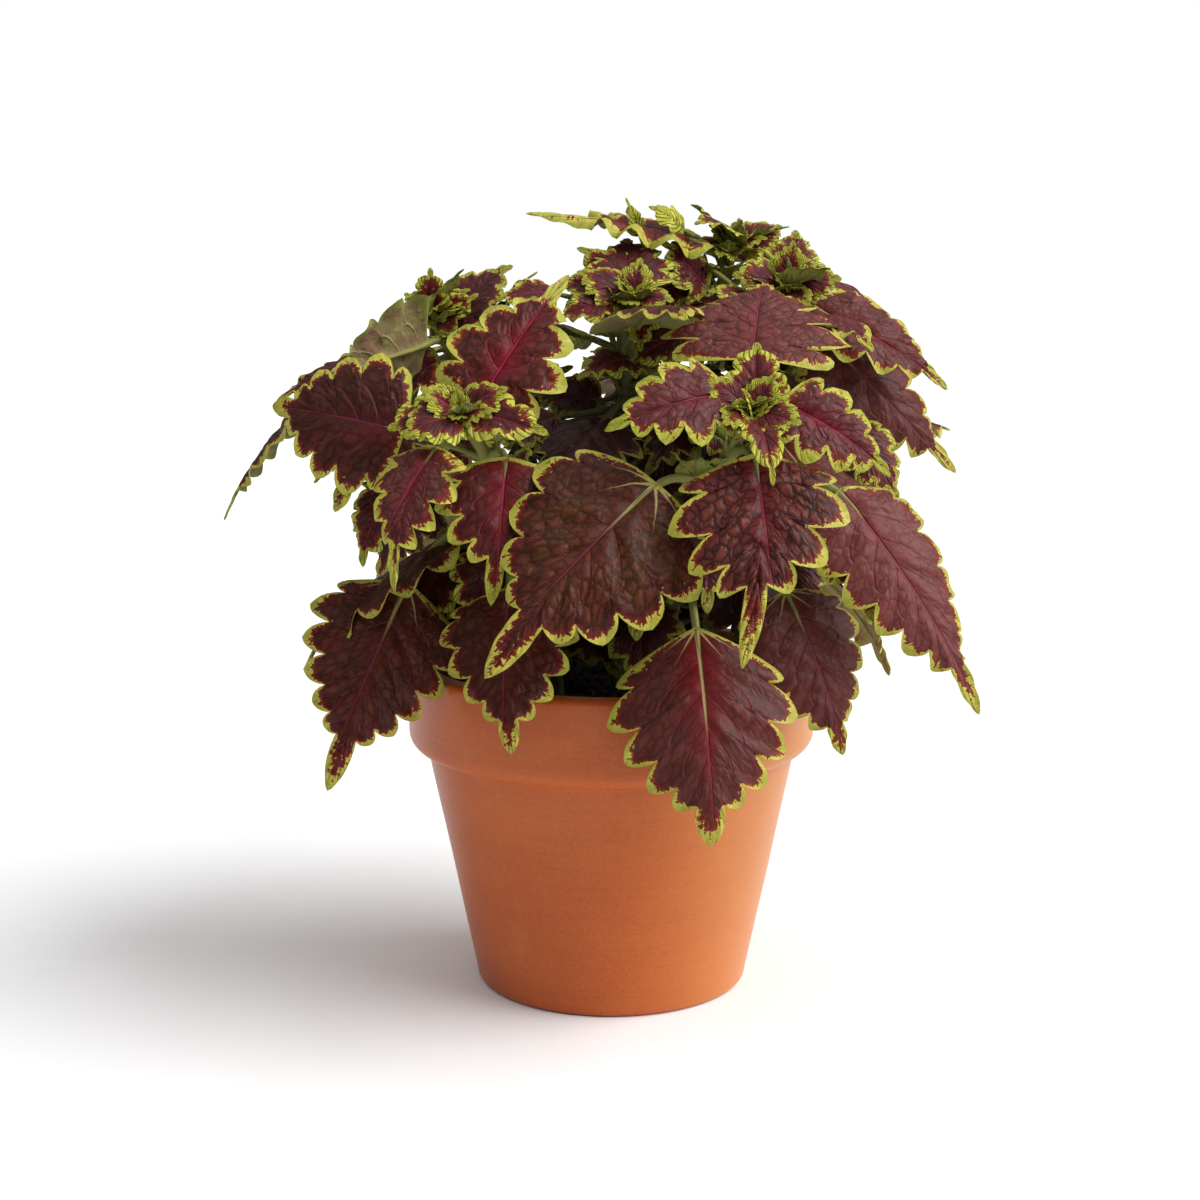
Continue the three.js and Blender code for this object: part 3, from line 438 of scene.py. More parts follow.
def clear_posts(table, probes, share, posts, owners):
    """Turns that move leaves sideways off the stems that pass through them, and up off the pot's rim."""
    leaf = pick(table, slice(None))
    inside, u, y, margin, height = over(leaf, posts[None])
    own = (owners[None] == leaf["stem"]) & (u < CLEAR["lead"])
    go = inside & (np.abs(height) <= CLEAR["reach"]) & ~own
    lack = np.minimum(margin + CLEAR["stalk"] - np.abs(y), CLEAR["step"])
    size = np.where(y > 0, -1, 1) * lack * CLEAR["ease"] * share[:, None] * go
    turns = turning(posts[None] - leaf["hinge"], leaf["side"] * size[..., None]).sum(axis=1)
    lack = POT["height"] + CLEAR["blade"] - probes[..., 2]
    go = (lack > 0) & (np.hypot(probes[..., 0], probes[..., 1]) <= POT["rim_radius"] + CLEAR["blade"])
    push = np.zeros_like(probes)
    push[..., 2] = np.minimum(lack, CLEAR["step"]) * CLEAR["ease"] * go
    return turns + turning(probes - leaf["hinge"], push).sum(axis=1)


def rotated(v, axis, angle):
    """Vectors turned about unit axes: the part along the axis stays, the rest swings round it."""
    cos, sin = np.cos(angle), np.sin(angle)
    return v * cos + np.cross(axis, v) * sin + axis * dot(axis, v) * (1 - cos)


def bend_clear(table, held=0):
    """Turns leaves a little about their hinges, round after round, until blades, stems and rim are clear. The
    first of them, as many as are held, stay as they are."""
    steps = np.arange(CLEAR["posts"] + 1) / CLEAR["posts"]
    posts = np.concatenate([stem_points(stem[1], stem[2], steps) for stem in STEMS])
    owners = np.repeat(np.arange(len(STEMS)), len(steps))
    count = len(table["stem"])
    i, j = (x.ravel() for x in np.meshgrid(np.arange(count), np.arange(count), indexing="ij"))
    kin = table["stem"][i] == table["stem"][j]
    young = (table["rank"][i] < CLEAR["young"]) | (table["rank"][j] < CLEAR["young"])
    pairs = tuple(x[(i != j) & ~(kin & young)] for x in (i, j))
    kin = table["stem"][pairs[0]] == table["stem"][pairs[1]]
    allowed = np.ones((len(kin), len(PROBES) + len(STALK_PROBES)), bool)
    allowed[np.ix_(kin, [*range(len(ACROSS)), *range(len(PROBES), allowed.shape[1])])] = False
    sides = np.zeros(len(kin))
    posed = table["posed"] > 0
    ease, total = np.where(posed, CLEAR["posed"], 1), np.where(posed, CLEAR["posed_total"], CLEAR["total"])
    settle(table)
    for _ in range(CLEAR["rounds"]):
        leaf = pick(table, slice(None))
        probes = bent(leaf, *flat(leaf, PROBES[:, 0], PROBES[:, 1]))
        points = np.concatenate([probes, stalk_line(leaf, STALK_PROBES)], axis=1)
        rested = ease * np.maximum(1 - table["turned"] / total, 0)
        share = np.where((table["rank"] < CLEAR["young"]) | (np.arange(count) < held), 0, rested)
        turns = part_leaves(table, points, share, pairs, sides, allowed)
        turns += clear_posts(table, probes, share, posts, owners)
        angle = np.linalg.norm(turns, axis=1, keepdims=True)
        axis = turns / np.maximum(angle, 1e-12)
        angle = np.where(angle < 1e-9, 0, np.minimum(angle, CLEAR["turn_limit"]))
        for key in ("base", "tip"):
            table[key] = table["hinge"] + rotated(table[key] - table["hinge"], axis, angle)
        table["face"] = rotated(table["face"], axis, angle)
        table["turned"] += angle[:, 0]
        settle(table)


# ---------------------------------------------------------------- fine forms
FINE = {
    "body_rows": 12, "end_rows": 14, "columns": 13, "quilt": 1.15, "lumps": 0.45, "cross": 11,
    "roll": 0.5, "teeth": 3, "tooth": 0.2, "throw": 0.055, "wave": 0.05,
    "pitch": 0.2, "vein_bow": 1.1, "rays": [38, 66, 96],
    "stem_steps": 40, "stem_sides": 16, "stalk_steps": 12, "rib_steps": 14, "stalk_sides": 10,
    "rib": 0.86, "rib_end": 0.22,
}
# The band of lime along a margin, in millimetres: at the notches, along a lobe's sides, more at its tip.
LIME = {"young": 1.1, "notch": 0.5, "side": 1.05, "tip": 1.6, "tip_power": 6}
# Bud leaves at a growing tip: length, rise, half width over length, lobes a side, bend, fold.
CROWN = {
    "stem_front_left": (-0.1, -0.75, 0.65), "stem_front_right": (0.05, -0.75, 0.65), "stem_middle": (0, -0.6, 0.8),
    "stem_top": (0.1, -0.55, 0.83), "stem_upper_left": (-0.25, -0.5, 0.83), "stem_upper_right": (0.15, -0.85, 0.5),
}
BUDS = [(19, 20, 0.56, 4, 45, 0.1, 1.1), (14, 36, 0.54, 4, 40, 0.15, 1.5), (10, 54, 0.5, 3, 30, 0.3, 4),
        (6, 74, 0.45, 2, 20, 0.5, 6)]
POT_SIDES, SOIL_SIDES, CRUMBS = 160, 140, 400


def triangles(index, flip=False):
    """Two triangles for each four of a grid of point numbers, cut the same way on both halves of the grid.
    Where points of a pole share a number, the triangles of no area are left out."""
    a, b, c, d = index[:-1, :-1], index[1:, :-1], index[1:, 1:], index[:-1, 1:]
    late = np.arange(a.shape[1]) >= a.shape[1] / 2
    one = np.where(late[None, :, None], np.stack([a, b, d], -1), np.stack([a, b, c], -1))
    two = np.where(late[None, :, None], np.stack([b, c, d], -1), np.stack([a, c, d], -1))
    faces = np.concatenate([one.reshape(-1, 3), two.reshape(-1, 3)])
    whole = (faces[:, 0] != faces[:, 1]) & (faces[:, 1] != faces[:, 2]) & (faces[:, 0] != faces[:, 2])
    return faces[whole][:, ::-1] if flip else faces[whole]


def gathered(parts):
    """Parts of points, faces, kinds of face, notes and flat layouts joined into one, without unused points."""
    shift, joined = 0, {}
    for part in parts:
        part = {**part, "faces": part["faces"] + shift}
        shift += len(part["points"])
        for key, value in part.items():
            joined.setdefault(key, []).append(value)
    joined = {key: np.concatenate(value) for key, value in joined.items()}
    used, faces = np.unique(joined["faces"].ravel(), return_inverse=True)
    count = len(joined["points"])
    kept = {key: value[used] if len(value) == count and key not in ("faces", "kind", "flat") else value
            for key, value in joined.items()}
    kept["faces"] = faces.reshape(-1, 3)
    return kept


def piece(name, nodes, form, finishes):
    """Puts a piece into the scene in place of its nodes: points, faces, a finish for each kind of face, and the
    notes at its points that the finishes read."""
    mesh = bpy.data.meshes.new(name)
    points, faces = form["points"], form["faces"]
    mesh.vertices.add(len(points))
    mesh.vertices.foreach_set("co", (points * MM).astype(np.float32).ravel())
    mesh.loops.add(faces.size)
    mesh.loops.foreach_set("vertex_index", faces.astype(np.int32).ravel())
    mesh.polygons.add(len(faces))
    mesh.polygons.foreach_set("loop_start", np.arange(0, faces.size, 3, dtype=np.int32))
    for finish in finishes:
        mesh.materials.append(finish)
    if "kind" in form:
        mesh.polygons.foreach_set("material_index", form["kind"].astype(np.int32))
    mesh.update(calc_edges=True)
    for key in ("lay", "edge", "vein", "tone", "rim"):
        if key in form:
            layer = mesh.attributes.new(key, "FLOAT_VECTOR", "POINT")
            layer.data.foreach_set("vector", form[key].astype(np.float32).ravel())
    mesh.polygons.foreach_set("use_smooth", np.ones(len(faces), bool))
    mesh.set_sharp_from_angle(angle=math.radians(75))
    body = bpy.data.objects.new(name, mesh)
    bpy.context.scene.collection.objects.link(body)
    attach(body, "root")
    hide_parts(*nodes)
    return body


def side_veins(leaf, u, across):
    """Count of side veins passed: whole numbers lie on a vein. Each vein runs to its own lobe's tip, from the
    midrib a pitch below it, or from the blade's base where that is nearer."""
    lean = np.maximum(across, 0.04) ** FINE["vein_bow"]
    end = np.minimum(u + FINE["pitch"] * (1 - lean), u / lean)
    return leaf["lobes"] * end / leaf["body"] - 0.5


def band_width(leaf, u):
    """Width of the lime band at the margin, in millimetres, for rows u: thin at the notches, wide at tips."""
    body = np.minimum(u / leaf["body"], 1)
    rest = np.maximum((u - leaf["body"]) / (1 - leaf["body"]), 0)
    tooth = np.abs(np.sin(np.pi * leaf["lobes"] * body)) ** BLADE["lobe"]
    tooth = np.where(rest > 0, smooth(0, 0.12, rest) * mix(0.7, 1.0, rest), tooth)
    width = LIME["notch"] + LIME["side"] * tooth + LIME["tip"] * tooth ** LIME["tip_power"]
    return mix(width, LIME["young"], 0.85 * leaf["youth"])


def margin_distance(s, y, width):
    """For each point of the flat blade, its distance from the margin, the lime band's width there, and how far
    round the margin its nearest place lies: least distances to the stretches between the margin's points."""
    line = np.concatenate([np.stack([s[:, 0], y[:, 0]], -1), np.stack([s[::-1, -1], y[::-1, -1]], -1)])
    wide = np.concatenate([width, width[::-1]])
    start, run = line[:-1], line[1:] - line[:-1]
    round_it = np.concatenate([[0], np.cumsum(np.linalg.norm(run, axis=1))])
    point = np.stack([s.ravel(), y.ravel()], -1)[:, None]
    t = np.sum((point - start) * run, -1) / np.maximum(np.sum(run * run, -1), 1e-9)
    t = np.clip(t, 0, 1)
    far = np.linalg.norm(point - start - run * t[..., None], axis=-1)
    near = np.argmin(far, axis=1)
    row = np.arange(len(near))
    band = mix(wide[:-1][near], wide[1:][near], t[row, near])
    place = mix(round_it[:-1][near], round_it[1:][near], t[row, near])
    return (x.reshape(s.shape) for x in (far[row, near], band, place))


def crimped(leaf, u, v, y, z):
    """The young blade's crimped margin: small round teeth on each lobe, and the margin thrown up and down with
    them, most at the margin, nothing at the midrib."""
    body = np.minimum(u / leaf["body"], 1)
    rest = np.maximum((u - leaf["body"]) / (1 - leaf["body"]), 0)
    across, phase = np.abs(v), 2 * np.pi * leaf["chance"]
    teeth = np.abs(np.sin(FINE["teeth"] * np.pi * leaf["lobes"] * body)) ** 0.7 - 0.5
    throw = np.sin(FINE["teeth"] * np.pi * leaf["lobes"] * body + phase * np.sign(v))
    slow = np.sin(2.3 * np.pi * leaf["lobes"] * body / 2 + phase * np.sign(v))
    fade = leaf["crimp"] * (1 - rest) * smooth(0, 0.08, u)
    y = y * (1 + FINE["tooth"] * fade * teeth * across ** 2)
    z = z + leaf["length"] * fade * (FINE["throw"] * across ** 3 * throw + FINE["wave"] * across ** 2 * slow)
    return y, z


def blade(leaf):
    """A leaf blade: rows up the midrib that crowd at the notches, columns that crowd at midrib and margin. The
    flat form is crimped while young, puffed up between its side veins by the absolute sine of the vein count
    and between the cross veins by another, lumped by three slow sines, then bent. Both faces stand half the
    thickness off it and meet at the margin."""
    lobes = int(leaf["lobes"])
    size = np.clip(leaf["length"] / 60, leaf["least"], 1)
    even = smooth(0.15, 0.4, leaf["crimp"]) * (leaf["least"] > 0.4)
    per, end = max(int(mix(FINE["body_rows"] * size, 12, even)), 5), max(int(FINE["end_rows"] * size), 5)
    eased = mix((1 - np.cos(np.pi * np.arange(per) / per)) / 2, np.arange(per) / per, even)
    body = ((np.arange(lobes)[:, None] + eased) / lobes).ravel() * leaf["body"]
    u = np.concatenate([body, mix(leaf["body"], 1, np.arange(end + 1) / end)])
    half = max(int(FINE["columns"] * size), 5)
    v = (1 - np.cos(np.pi * np.arange(half + 1) / half)) / 2
    v = np.concatenate([-v[:0:-1], v])
    u, v = np.meshgrid(u, v, indexing="ij")
    s, y, z = flat(leaf, u, v)
    y, z = crimped(leaf, u, v, y, z)
    length, across, shift = leaf["length"], np.abs(v), 20 * leaf["chance"]
    passed = side_veins(leaf, u, across)
    away, band, place = margin_distance(s, y, band_width(leaf, u[:, 0]))
    calm = smooth(0, 0.05 * length, away) * smooth(0, 0.04 * length, np.abs(y))
    puff = np.abs(np.sin(np.pi * passed)) ** 0.7 - 0.45
    cross = np.abs(y) * FINE["cross"] / length + 0.37 * np.floor(passed) * np.sign(v) + shift
    cushion = 0.45 + 0.55 * np.abs(np.sin(np.pi * cross)) ** 0.6
    z = z + FINE["quilt"] * leaf["quilt"] * length / 75 * calm * (puff * cushion + 0.3 * (cushion - 0.8))
    slow = np.sin(0.31 * s + shift) * np.cos(0.37 * y + 2 * shift) + 0.6 * np.sin(0.71 * s - 0.53 * y + shift)
    z = z + FINE["lumps"] * min(length / 50, 1) * slow * smooth(0, 0.12 * length, away) * smooth(0, 0.06 * length, np.abs(y))
    roll = smooth(0.1 * length, 0, away) * across * (1 - np.maximum(u - leaf["body"], 0))
    z = z + FINE["roll"] * min(length / 50, 1) * roll * np.sin(2 * np.pi * passed + 0.6 * shift)
    rib = np.exp(-(y / 1.1) ** 2) * smooth(0, 0.1, u) * (1 - u)
    middle = bent(leaf, s, y, z - 0.45 * rib)
    along, over_it = np.gradient(middle, axis=0), np.gradient(middle, axis=1)
    normal = np.cross(along, over_it)
    centre = normal.shape[1] // 2
    normal[0], normal[-1] = normal[1, centre], normal[-2, centre]
    normal = unit(normal)
    thick = BLADE["thickness"] / 2 * (1 - across ** 8)[..., None]
    upper, lower = middle + normal * thick, middle - normal * thick
    count = u.size
    top = np.arange(count).reshape(u.shape)
    top[0], top[-1] = top[0, 0], top[-1, 0]
    under = top + count
    under[0], under[-1], under[:, 0], under[:, -1] = top[0], top[-1], top[:, 0], top[:, -1]
    upper_faces, under_faces = triangles(top), triangles(under, flip=True)
    out = y / np.maximum(np.cos(np.radians(30)), 0.1)

    def note(*columns):
        column = np.stack([np.broadcast_to(c, u.shape) for c in columns], -1).reshape(-1, 3)
        return np.concatenate([column, column])

    return {
        "points": np.concatenate([upper.reshape(-1, 3), lower.reshape(-1, 3)]),
        "faces": np.concatenate([upper_faces, under_faces]),
        "kind": np.concatenate([np.zeros(len(upper_faces)), np.ones(len(under_faces))]),
        "lay": note(length * u, out, 60 * leaf["chance"]),
        "edge": note(away / (band * leaf["lime"]), away, length * leaf["body"] / leaf["lobes"]),
        "vein": note(passed, across, np.hypot(s, y) / length),
        "tone": note(leaf["youth"], leaf["glow"], leaf["quilt"]),
        "rim": note(place, leaf["bronze"], leaf["pale"] + min(leaf["fade"], 0.99)),
    }


def tube(path, radius, ahead_side, sides, section, chance):
    """A stalk: rings square to a path, each ring's radius times a section round it, closed to a point at both
    ends."""
    ahead = unit(np.gradient(path, axis=0))
    side = unit(np.cross(ahead, ahead_side))
    up = np.cross(side, ahead)
    path = np.concatenate([path[:1], path, path[-1:]])
    side, up = (np.concatenate([x[:1], x, x[-1:]]) for x in (side, up))
    radius = np.concatenate([[0], radius, [0]])
    angle = 2 * np.pi * np.arange(sides + 1) / sides
    ring = radius[:, None] * section(angle)
    points = (path[:, None] + side[:, None] * (np.cos(angle) * ring)[..., None]
              + up[:, None] * (np.sin(angle) * ring)[..., None])
    index = np.arange(points.shape[0] * points.shape[1]).reshape(points.shape[:2])
    index[:, -1] = index[:, 0]
    index[0], index[-1] = index[0, 0], index[-1, 0]
    run = np.concatenate([[0], np.cumsum(np.linalg.norm(np.diff(path, axis=0), axis=1))])
    lay = np.stack(np.broadcast_arrays(run[:, None], angle * 2.0, 60 * chance), -1)
    return {
        "points": points.reshape(-1, 3), "faces": triangles(index, flip=True),
        "lay": lay.reshape(-1, 3),
    }


def leaf_stalk(leaf):
    """A leaf's stalk and the rib that it runs on as under the blade: a groove along its upper side, thinner
    all the way, and flat against the blade's lower face."""
    small = leaf["least"] < 0.4
    t = np.linspace(0, 1, 8 if small else FINE["stalk_steps"])
    stalk = stalk_line(leaf, t)
    u = np.linspace(STALK["root"], FINE["rib"], 6 if small else FINE["rib_steps"])[1:]
    fade = (u - STALK["root"]) / (FINE["rib"] - STALK["root"])
    thin = min(leaf["length"] / 60, 1)
    rib_radius = mix(0.8 * STALK["tip_radius"], FINE["rib_end"], fade ** 0.8) * thin
    s, y, z = flat(leaf, u, np.zeros_like(u))
    rib = bent(leaf, s, y, z - 0.45 * (1 - u) - rib_radius * 0.75)
    first = mix(STALK["base_radius"], STALK["tip_radius"], t) * (0.45 + 0.55 * thin)
    swell = 1 + 0.35 * np.exp(-(t / 0.12) ** 2)
    sink = smooth(0.75, 1, t)[:, None]
    stalk = stalk - leaf["up"] * sink * rib_radius[0] * 0.9
    first = mix(first, rib_radius[0], smooth(0.8, 1, t)) * swell
    path, radius = np.concatenate([stalk, rib]), np.concatenate([first, rib_radius])

    def section(angle):
        return 1 - 0.22 * np.exp(-((angle - np.pi / 2) / 0.45) ** 2)

    sides = 6 if small else FINE["stalk_sides"]
    return tube(path, radius, leaf["side"], sides, section, leaf["chance"])


def stem_body(number):
    """A stem: four sides with rounded corners, swollen a little where leaves stand, from the root to the tip."""
    _, foot, tip, first, pairs, _ = STEMS[number]
    span = stem_span(foot, tip)
    t = np.linspace(0, 1, FINE["stem_steps"])
    above = stem_points(foot, tip, t)
    root = above[:1] - np.array([[0, 0, STEM["root_depth"]], [0, 0, STEM["root_depth"] / 2]])
    path = np.concatenate([root, above])
    nodes = np.array([1 - row[0] / span for row in PAIRS[:pairs]])
    swell = 1 + 0.28 * np.exp(-((t[:, None] - nodes) * span / 2.6) ** 2).sum(axis=1)
    radius = mix(STEM["base_radius"], STEM["tip_radius"], t) * np.minimum(swell, 1.35)
    radius = np.concatenate([[STEM["base_radius"]] * 2, radius])
    turn = math.radians(first)

    def section(angle):
        cos, sin = np.abs(np.cos(angle + turn)), np.abs(np.sin(angle + turn))
        return 0.97 * (cos ** 3 + sin ** 3) ** (-1 / 3) * (1 - 0.05 * np.cos(4 * (angle + turn)))

    return tube(path, radius, np.array([0.0, 1.0, 0.0]), FINE["stem_sides"], section, 0.1 * number)


def lesser(base, tip, face, hinge, number, seed, **form):
    """A leaf that isn't one of the main pairs: its lobes follow its length."""
    long = math.dist(base, tip)
    plain = {
        "wide": 0.42, "lobes": int(np.clip(round(long / 9), 2, 4)), "arch": 35, "fold": 0.15, "notch": 0.28,
        "sweep": 0.05 * draw(seed + 7), "ripple": 0.03, "veer": BLADE["veer_base"], "body": BLADE["body"],
    }
    return {
        **plain, "base": np.array(base, float), "tip": np.array(tip, float), "face": np.array(face, float),
        "hinge": hinge, "rank": 3, "stem": number, "posed": True, "turned": 0.0,
        "chance": 0.5 + 0.5 * draw(seed + 11), **form,
    }


def inner_leaves(number):
    """The lesser leaves that stand among the main ones."""
    name, foot, tip = STEMS[number][:3]
    span = stem_span(foot, tip)
    return [lesser(**own, hinge=stem_points(foot, tip, 1 - below / span), number=number, seed=3000 + 40 * number + k)
            for k, (below, own) in enumerate(INNER.get(name, []))]


def side_shoots(number):
    """Small shoots in the axils of a stem's lower pairs, each with three leaves."""
    _, foot, tip, first, pairs, _ = STEMS[number]
    span = stem_span(foot, tip)
    depths = [row[0] for row in PAIRS[:pairs]] + [PAIRS[pairs - 1][0] + 24]
    leaves = []
    for rank, below in enumerate(depths):
        if rank < SHOOT["from"] or below > span - 12:
            continue
        hinge = stem_points(foot, tip, 1 - below / span)
        for half in range(2):
            seed = 5000 + 100 * number + 10 * rank + half
            heading = math.radians(first + 90 * rank + 180 * half + 10 * draw(seed))
            level = np.array([math.cos(heading), math.sin(heading), 0.0])
            up, aside = np.array([0.0, 0.0, 1.0]), np.array([-level[1], level[0], 0.0])
            rise = math.radians(SHOOT["rise"])
            top = hinge + (level * math.cos(rise) + up * math.sin(rise)) * (SHOOT["long"] + SHOOT["grows"] * below)
            for k, (turn, lift, size, grows) in enumerate(SHOOT["leaves"]):
                turn = math.radians(turn + 20 * draw(seed + 13 + k))
                lift = math.radians(lift + 12 * draw(seed + 17 + k))
                out = level * math.cos(turn) + aside * math.sin(turn)
                ahead = out * math.cos(lift) + up * math.sin(lift)
                long = (size + grows * below) * (1 + 0.2 * draw(seed + 19 + k))
                leaves.append(lesser(top + out, top + out + ahead * long, up * math.cos(lift) - out * math.sin(lift),
                                     hinge, number, seed + 23 * k, least=0.3, fold=0.25))
    return leaves


def bud_leaves(number):
    """The smallest leaves, pairs folded up round a stem's growing tip, the inmost lime all over."""
    name, foot, tip, first, _, _ = STEMS[number]
    axis = unit(np.array(CROWN.get(name, stem_points(foot, tip, 1.0) - stem_points(foot, tip, 0.96)), float))
    leaves = []
    for rank, (size, rise, wide, lobes, arch, fold, lime) in enumerate(BUDS):
        for half in range(2):
            seed = 1000 + 100 * number + 10 * rank + half
            heading = math.radians(first - 45 - 67 * rank + 180 * half + 14 * draw(seed))
            level = np.array([math.cos(heading), math.sin(heading), 0.0])
            level = unit(level - dot(level, axis) * axis)
            lift = math.radians(rise + 8 * draw(seed + 3))
            base = np.array(tip, float) + level * 0.9 + axis * 0.4
            ahead = level * math.cos(lift) + axis * math.sin(lift)
            leaves.append(lesser(
                base, base + ahead * size * (1 + 0.15 * draw(seed + 5)), axis * math.cos(lift) - level * math.sin(lift),
                np.array(tip, float), number, seed, wide=wide, lobes=lobes, arch=arch, fold=fold, least=0.45,
                crimp=0.2, notch=0.2, lime=lime,
            ))
    return leaves


def finish_table(leaves):
    """Adds to each leaf what its looks follow: how young it is, how crimped, how red it glows, how quilted and
    bronze it is, how wide its lime is, whether its base has pale veins, and how far its colour turns to a paler
    dull purple-brown, partly its own tone, by chance or set per leaf, and partly a painted sheen that grows
    towards the lamp on the right."""
    for leaf in leaves:
        long = float(np.linalg.norm(leaf["tip"] - leaf["base"]))
        young = float(np.clip(1.25 - long / 48, 0, 1))
        leaf["youth"] = young
        leaf["crimp"] = leaf.get("crimp", max(0.5 * young, 0.1))
        leaf["glow"] = leaf.get("glow", 0.1 + 0.4 * leaf["chance"])
        leaf["quilt"] = leaf.get("quilt", 0.7 + 0.5 * leaf["chance"])
        leaf["bronze"] = leaf.get("bronze", 0.7 * ((leaf["chance"] * 7.3) % 1))
        leaf["lime"] = leaf.get("lime", 1.0) * (1 + 0.8 * young) * min(max(long / 18, 0.5), 1)
        leaf["least"] = leaf.get("least", 0.5)
        leaf["pale"] = leaf.get("pale", 1.0 if long > 64 else 0.0)
        # Painted sheen: the right-hand share pales leaves towards the lamp on the right; the chance share is the leaf's
        # own tone.
        right = smooth(-40, 70, float(leaf["tip"][0]))
        leaf["fade"] = leaf.get("fade", 0.36 * right + 0.12 * ((leaf["chance"] * 5.7) % 1))


def turned(profile, sides, wobble=0.0):
    """A closed profile of radius and height turned round the pot's axis, its radius waved a little by hand."""
    angle = 2 * np.pi * np.arange(sides + 1) / sides
    r, z = profile[:, :1], profile[:, 1:]
    wave = wobble * (np.sin(3 * angle + 0.05 * z) + 0.6 * np.sin(7 * angle - 0.11 * z))
    outer = smooth(60, 70, r + z * 0.2)
    r = r + wave * outer
    points = np.stack([r * np.cos(angle), r * np.sin(angle), z + 0 * angle], -1)
    index = np.arange(points.shape[0] * points.shape[1]).reshape(points.shape[:2])
    index[:, -1] = index[:, 0]
    return points, index


def arc(centre, radius, start, end, count):
    """Points of radius and height on part of a circle, angles in degrees."""
    angle = np.radians(np.linspace(start, end, count))
    return np.stack([centre[0] + radius * np.cos(angle), centre[1] + radius * np.sin(angle)], -1)


def line(a, b, count):
    """Points on a straight line, without its last one."""
    return mix(np.array(a, float), np.array(b, float), np.arange(count)[:, None] / count)


def inside_radius(z):
    """Radius of the pot's inside wall at a height."""
    return mix(POT["well_radius"], POT["mouth_radius"], (z - POT["floor"]) / (POT["height"] - POT["floor"]))


def pot_body():
    """The pot: one closed profile, up the tapering wall, out under the rim, round its big lower corner, over
    the lip and down inside to the floor and its drain hole."""
    height, rim, rim_round = POT["height"], POT["rim_radius"], POT["rim_round"]
    foot, foot_round, lip = POT["foot_radius"], POT["foot_round"], POT["lip_round"]
    under, drain, floor = height - POT["rim_height"], POT["drain_radius"], POT["floor"]
    corner = arc((rim - rim_round, under + rim_round), rim_round, POT["rim_round_from"], 0, 14)
    mouth = [inside_radius(height), height]
    profile = np.concatenate([
        line([drain, 0], [foot - foot_round, 0], 8),
        arc((foot - foot_round, foot_round), foot_round, -90, -8, 8),
        line([foot, foot_round], [POT["under_rim_radius"] - 0.1, under - 1.2], 44)[1:],
        arc((POT["under_rim_radius"] + 1.1, under - 0.9), 1.2, 175, 100, 5),
        corner,
        line(corner[-1], [rim, height - lip], 14)[1:],
        arc((rim - lip, height - lip), lip, 0, 90, 8),
        line([rim - lip, height], [mouth[0] + 1.2, height], 3)[1:],
        arc((mouth[0] + 1.2, height - 1.2), 1.2, 90, 175, 6),
        line([inside_radius(height - 1.8), height - 1.8], [inside_radius(floor + 2), floor + 2], 24)[1:],
        arc((inside_radius(floor) - 2, floor + 2), 2, 0, -90, 5),
        line([inside_radius(floor) - 2.5, floor], [drain + 0.5, floor], 8)[1:],
        line([drain, floor - 0.5], [drain, 0], 4),
    ])
    profile = np.concatenate([profile, profile[:1]])
    points, index = turned(profile, POT_SIDES, 0.12)
    index[-1] = index[0]
    return {"points": points.reshape(-1, 3), "faces": triangles(index, flip=True)}


def soil_height(x, y):
    """Height of the soil: a few low bumps on a level bed, and small clods on them."""
    waves = np.sin(x * 0.16 + 1.3) * np.cos(y * 0.13) + 0.6 * np.sin(x * 0.07 - y * 0.19)
    clods = np.abs(np.sin(0.83 * x + 1.7 * np.sin(0.41 * y)) * np.sin(0.77 * y + 1.3 * np.sin(0.37 * x)))
    return SOIL["top"] + SOIL["bumps"] * waves + 1.6 * clods


def soil_body(chance):
    """The soil: a plug that fills the pot, with a rough top, and crumbs of it lying on that."""
    floor, gap = POT["floor"], SOIL["gap"]
    edge = inside_radius(SOIL["top"]) - gap
    wall = line([inside_radius(floor) - gap, floor], [edge, SOIL["top"]], 6)
    base = line([0.0, floor], wall[0], 3)
    bed = line([edge, SOIL["top"]], [0.0, SOIL["top"]], 58)
    profile = np.concatenate([base, wall, bed, [[0.0, SOIL["top"]]]])
    points, index = turned(profile, SOIL_SIDES)
    index[0], index[-1] = index[0, 0], index[-1, 0]
    x, y, z = points[..., 0], points[..., 1], points[..., 2]
    rough = np.clip((edge - np.hypot(x, y)) / 4, 0, 1)
    grit = chance.uniform(-0.35, 0.35, index.shape)
    grit[:, -1] = grit[:, 0]
    raised = soil_height(x, y) + grit - SOIL["top"]
    points[..., 2] = np.where(z > SOIL["top"] - 0.01, SOIL["top"] + raised * rough, z)
    plug = {"points": points.reshape(-1, 3), "faces": triangles(index, flip=True)}
    return gathered([plug, *crumbs(chance, edge)])


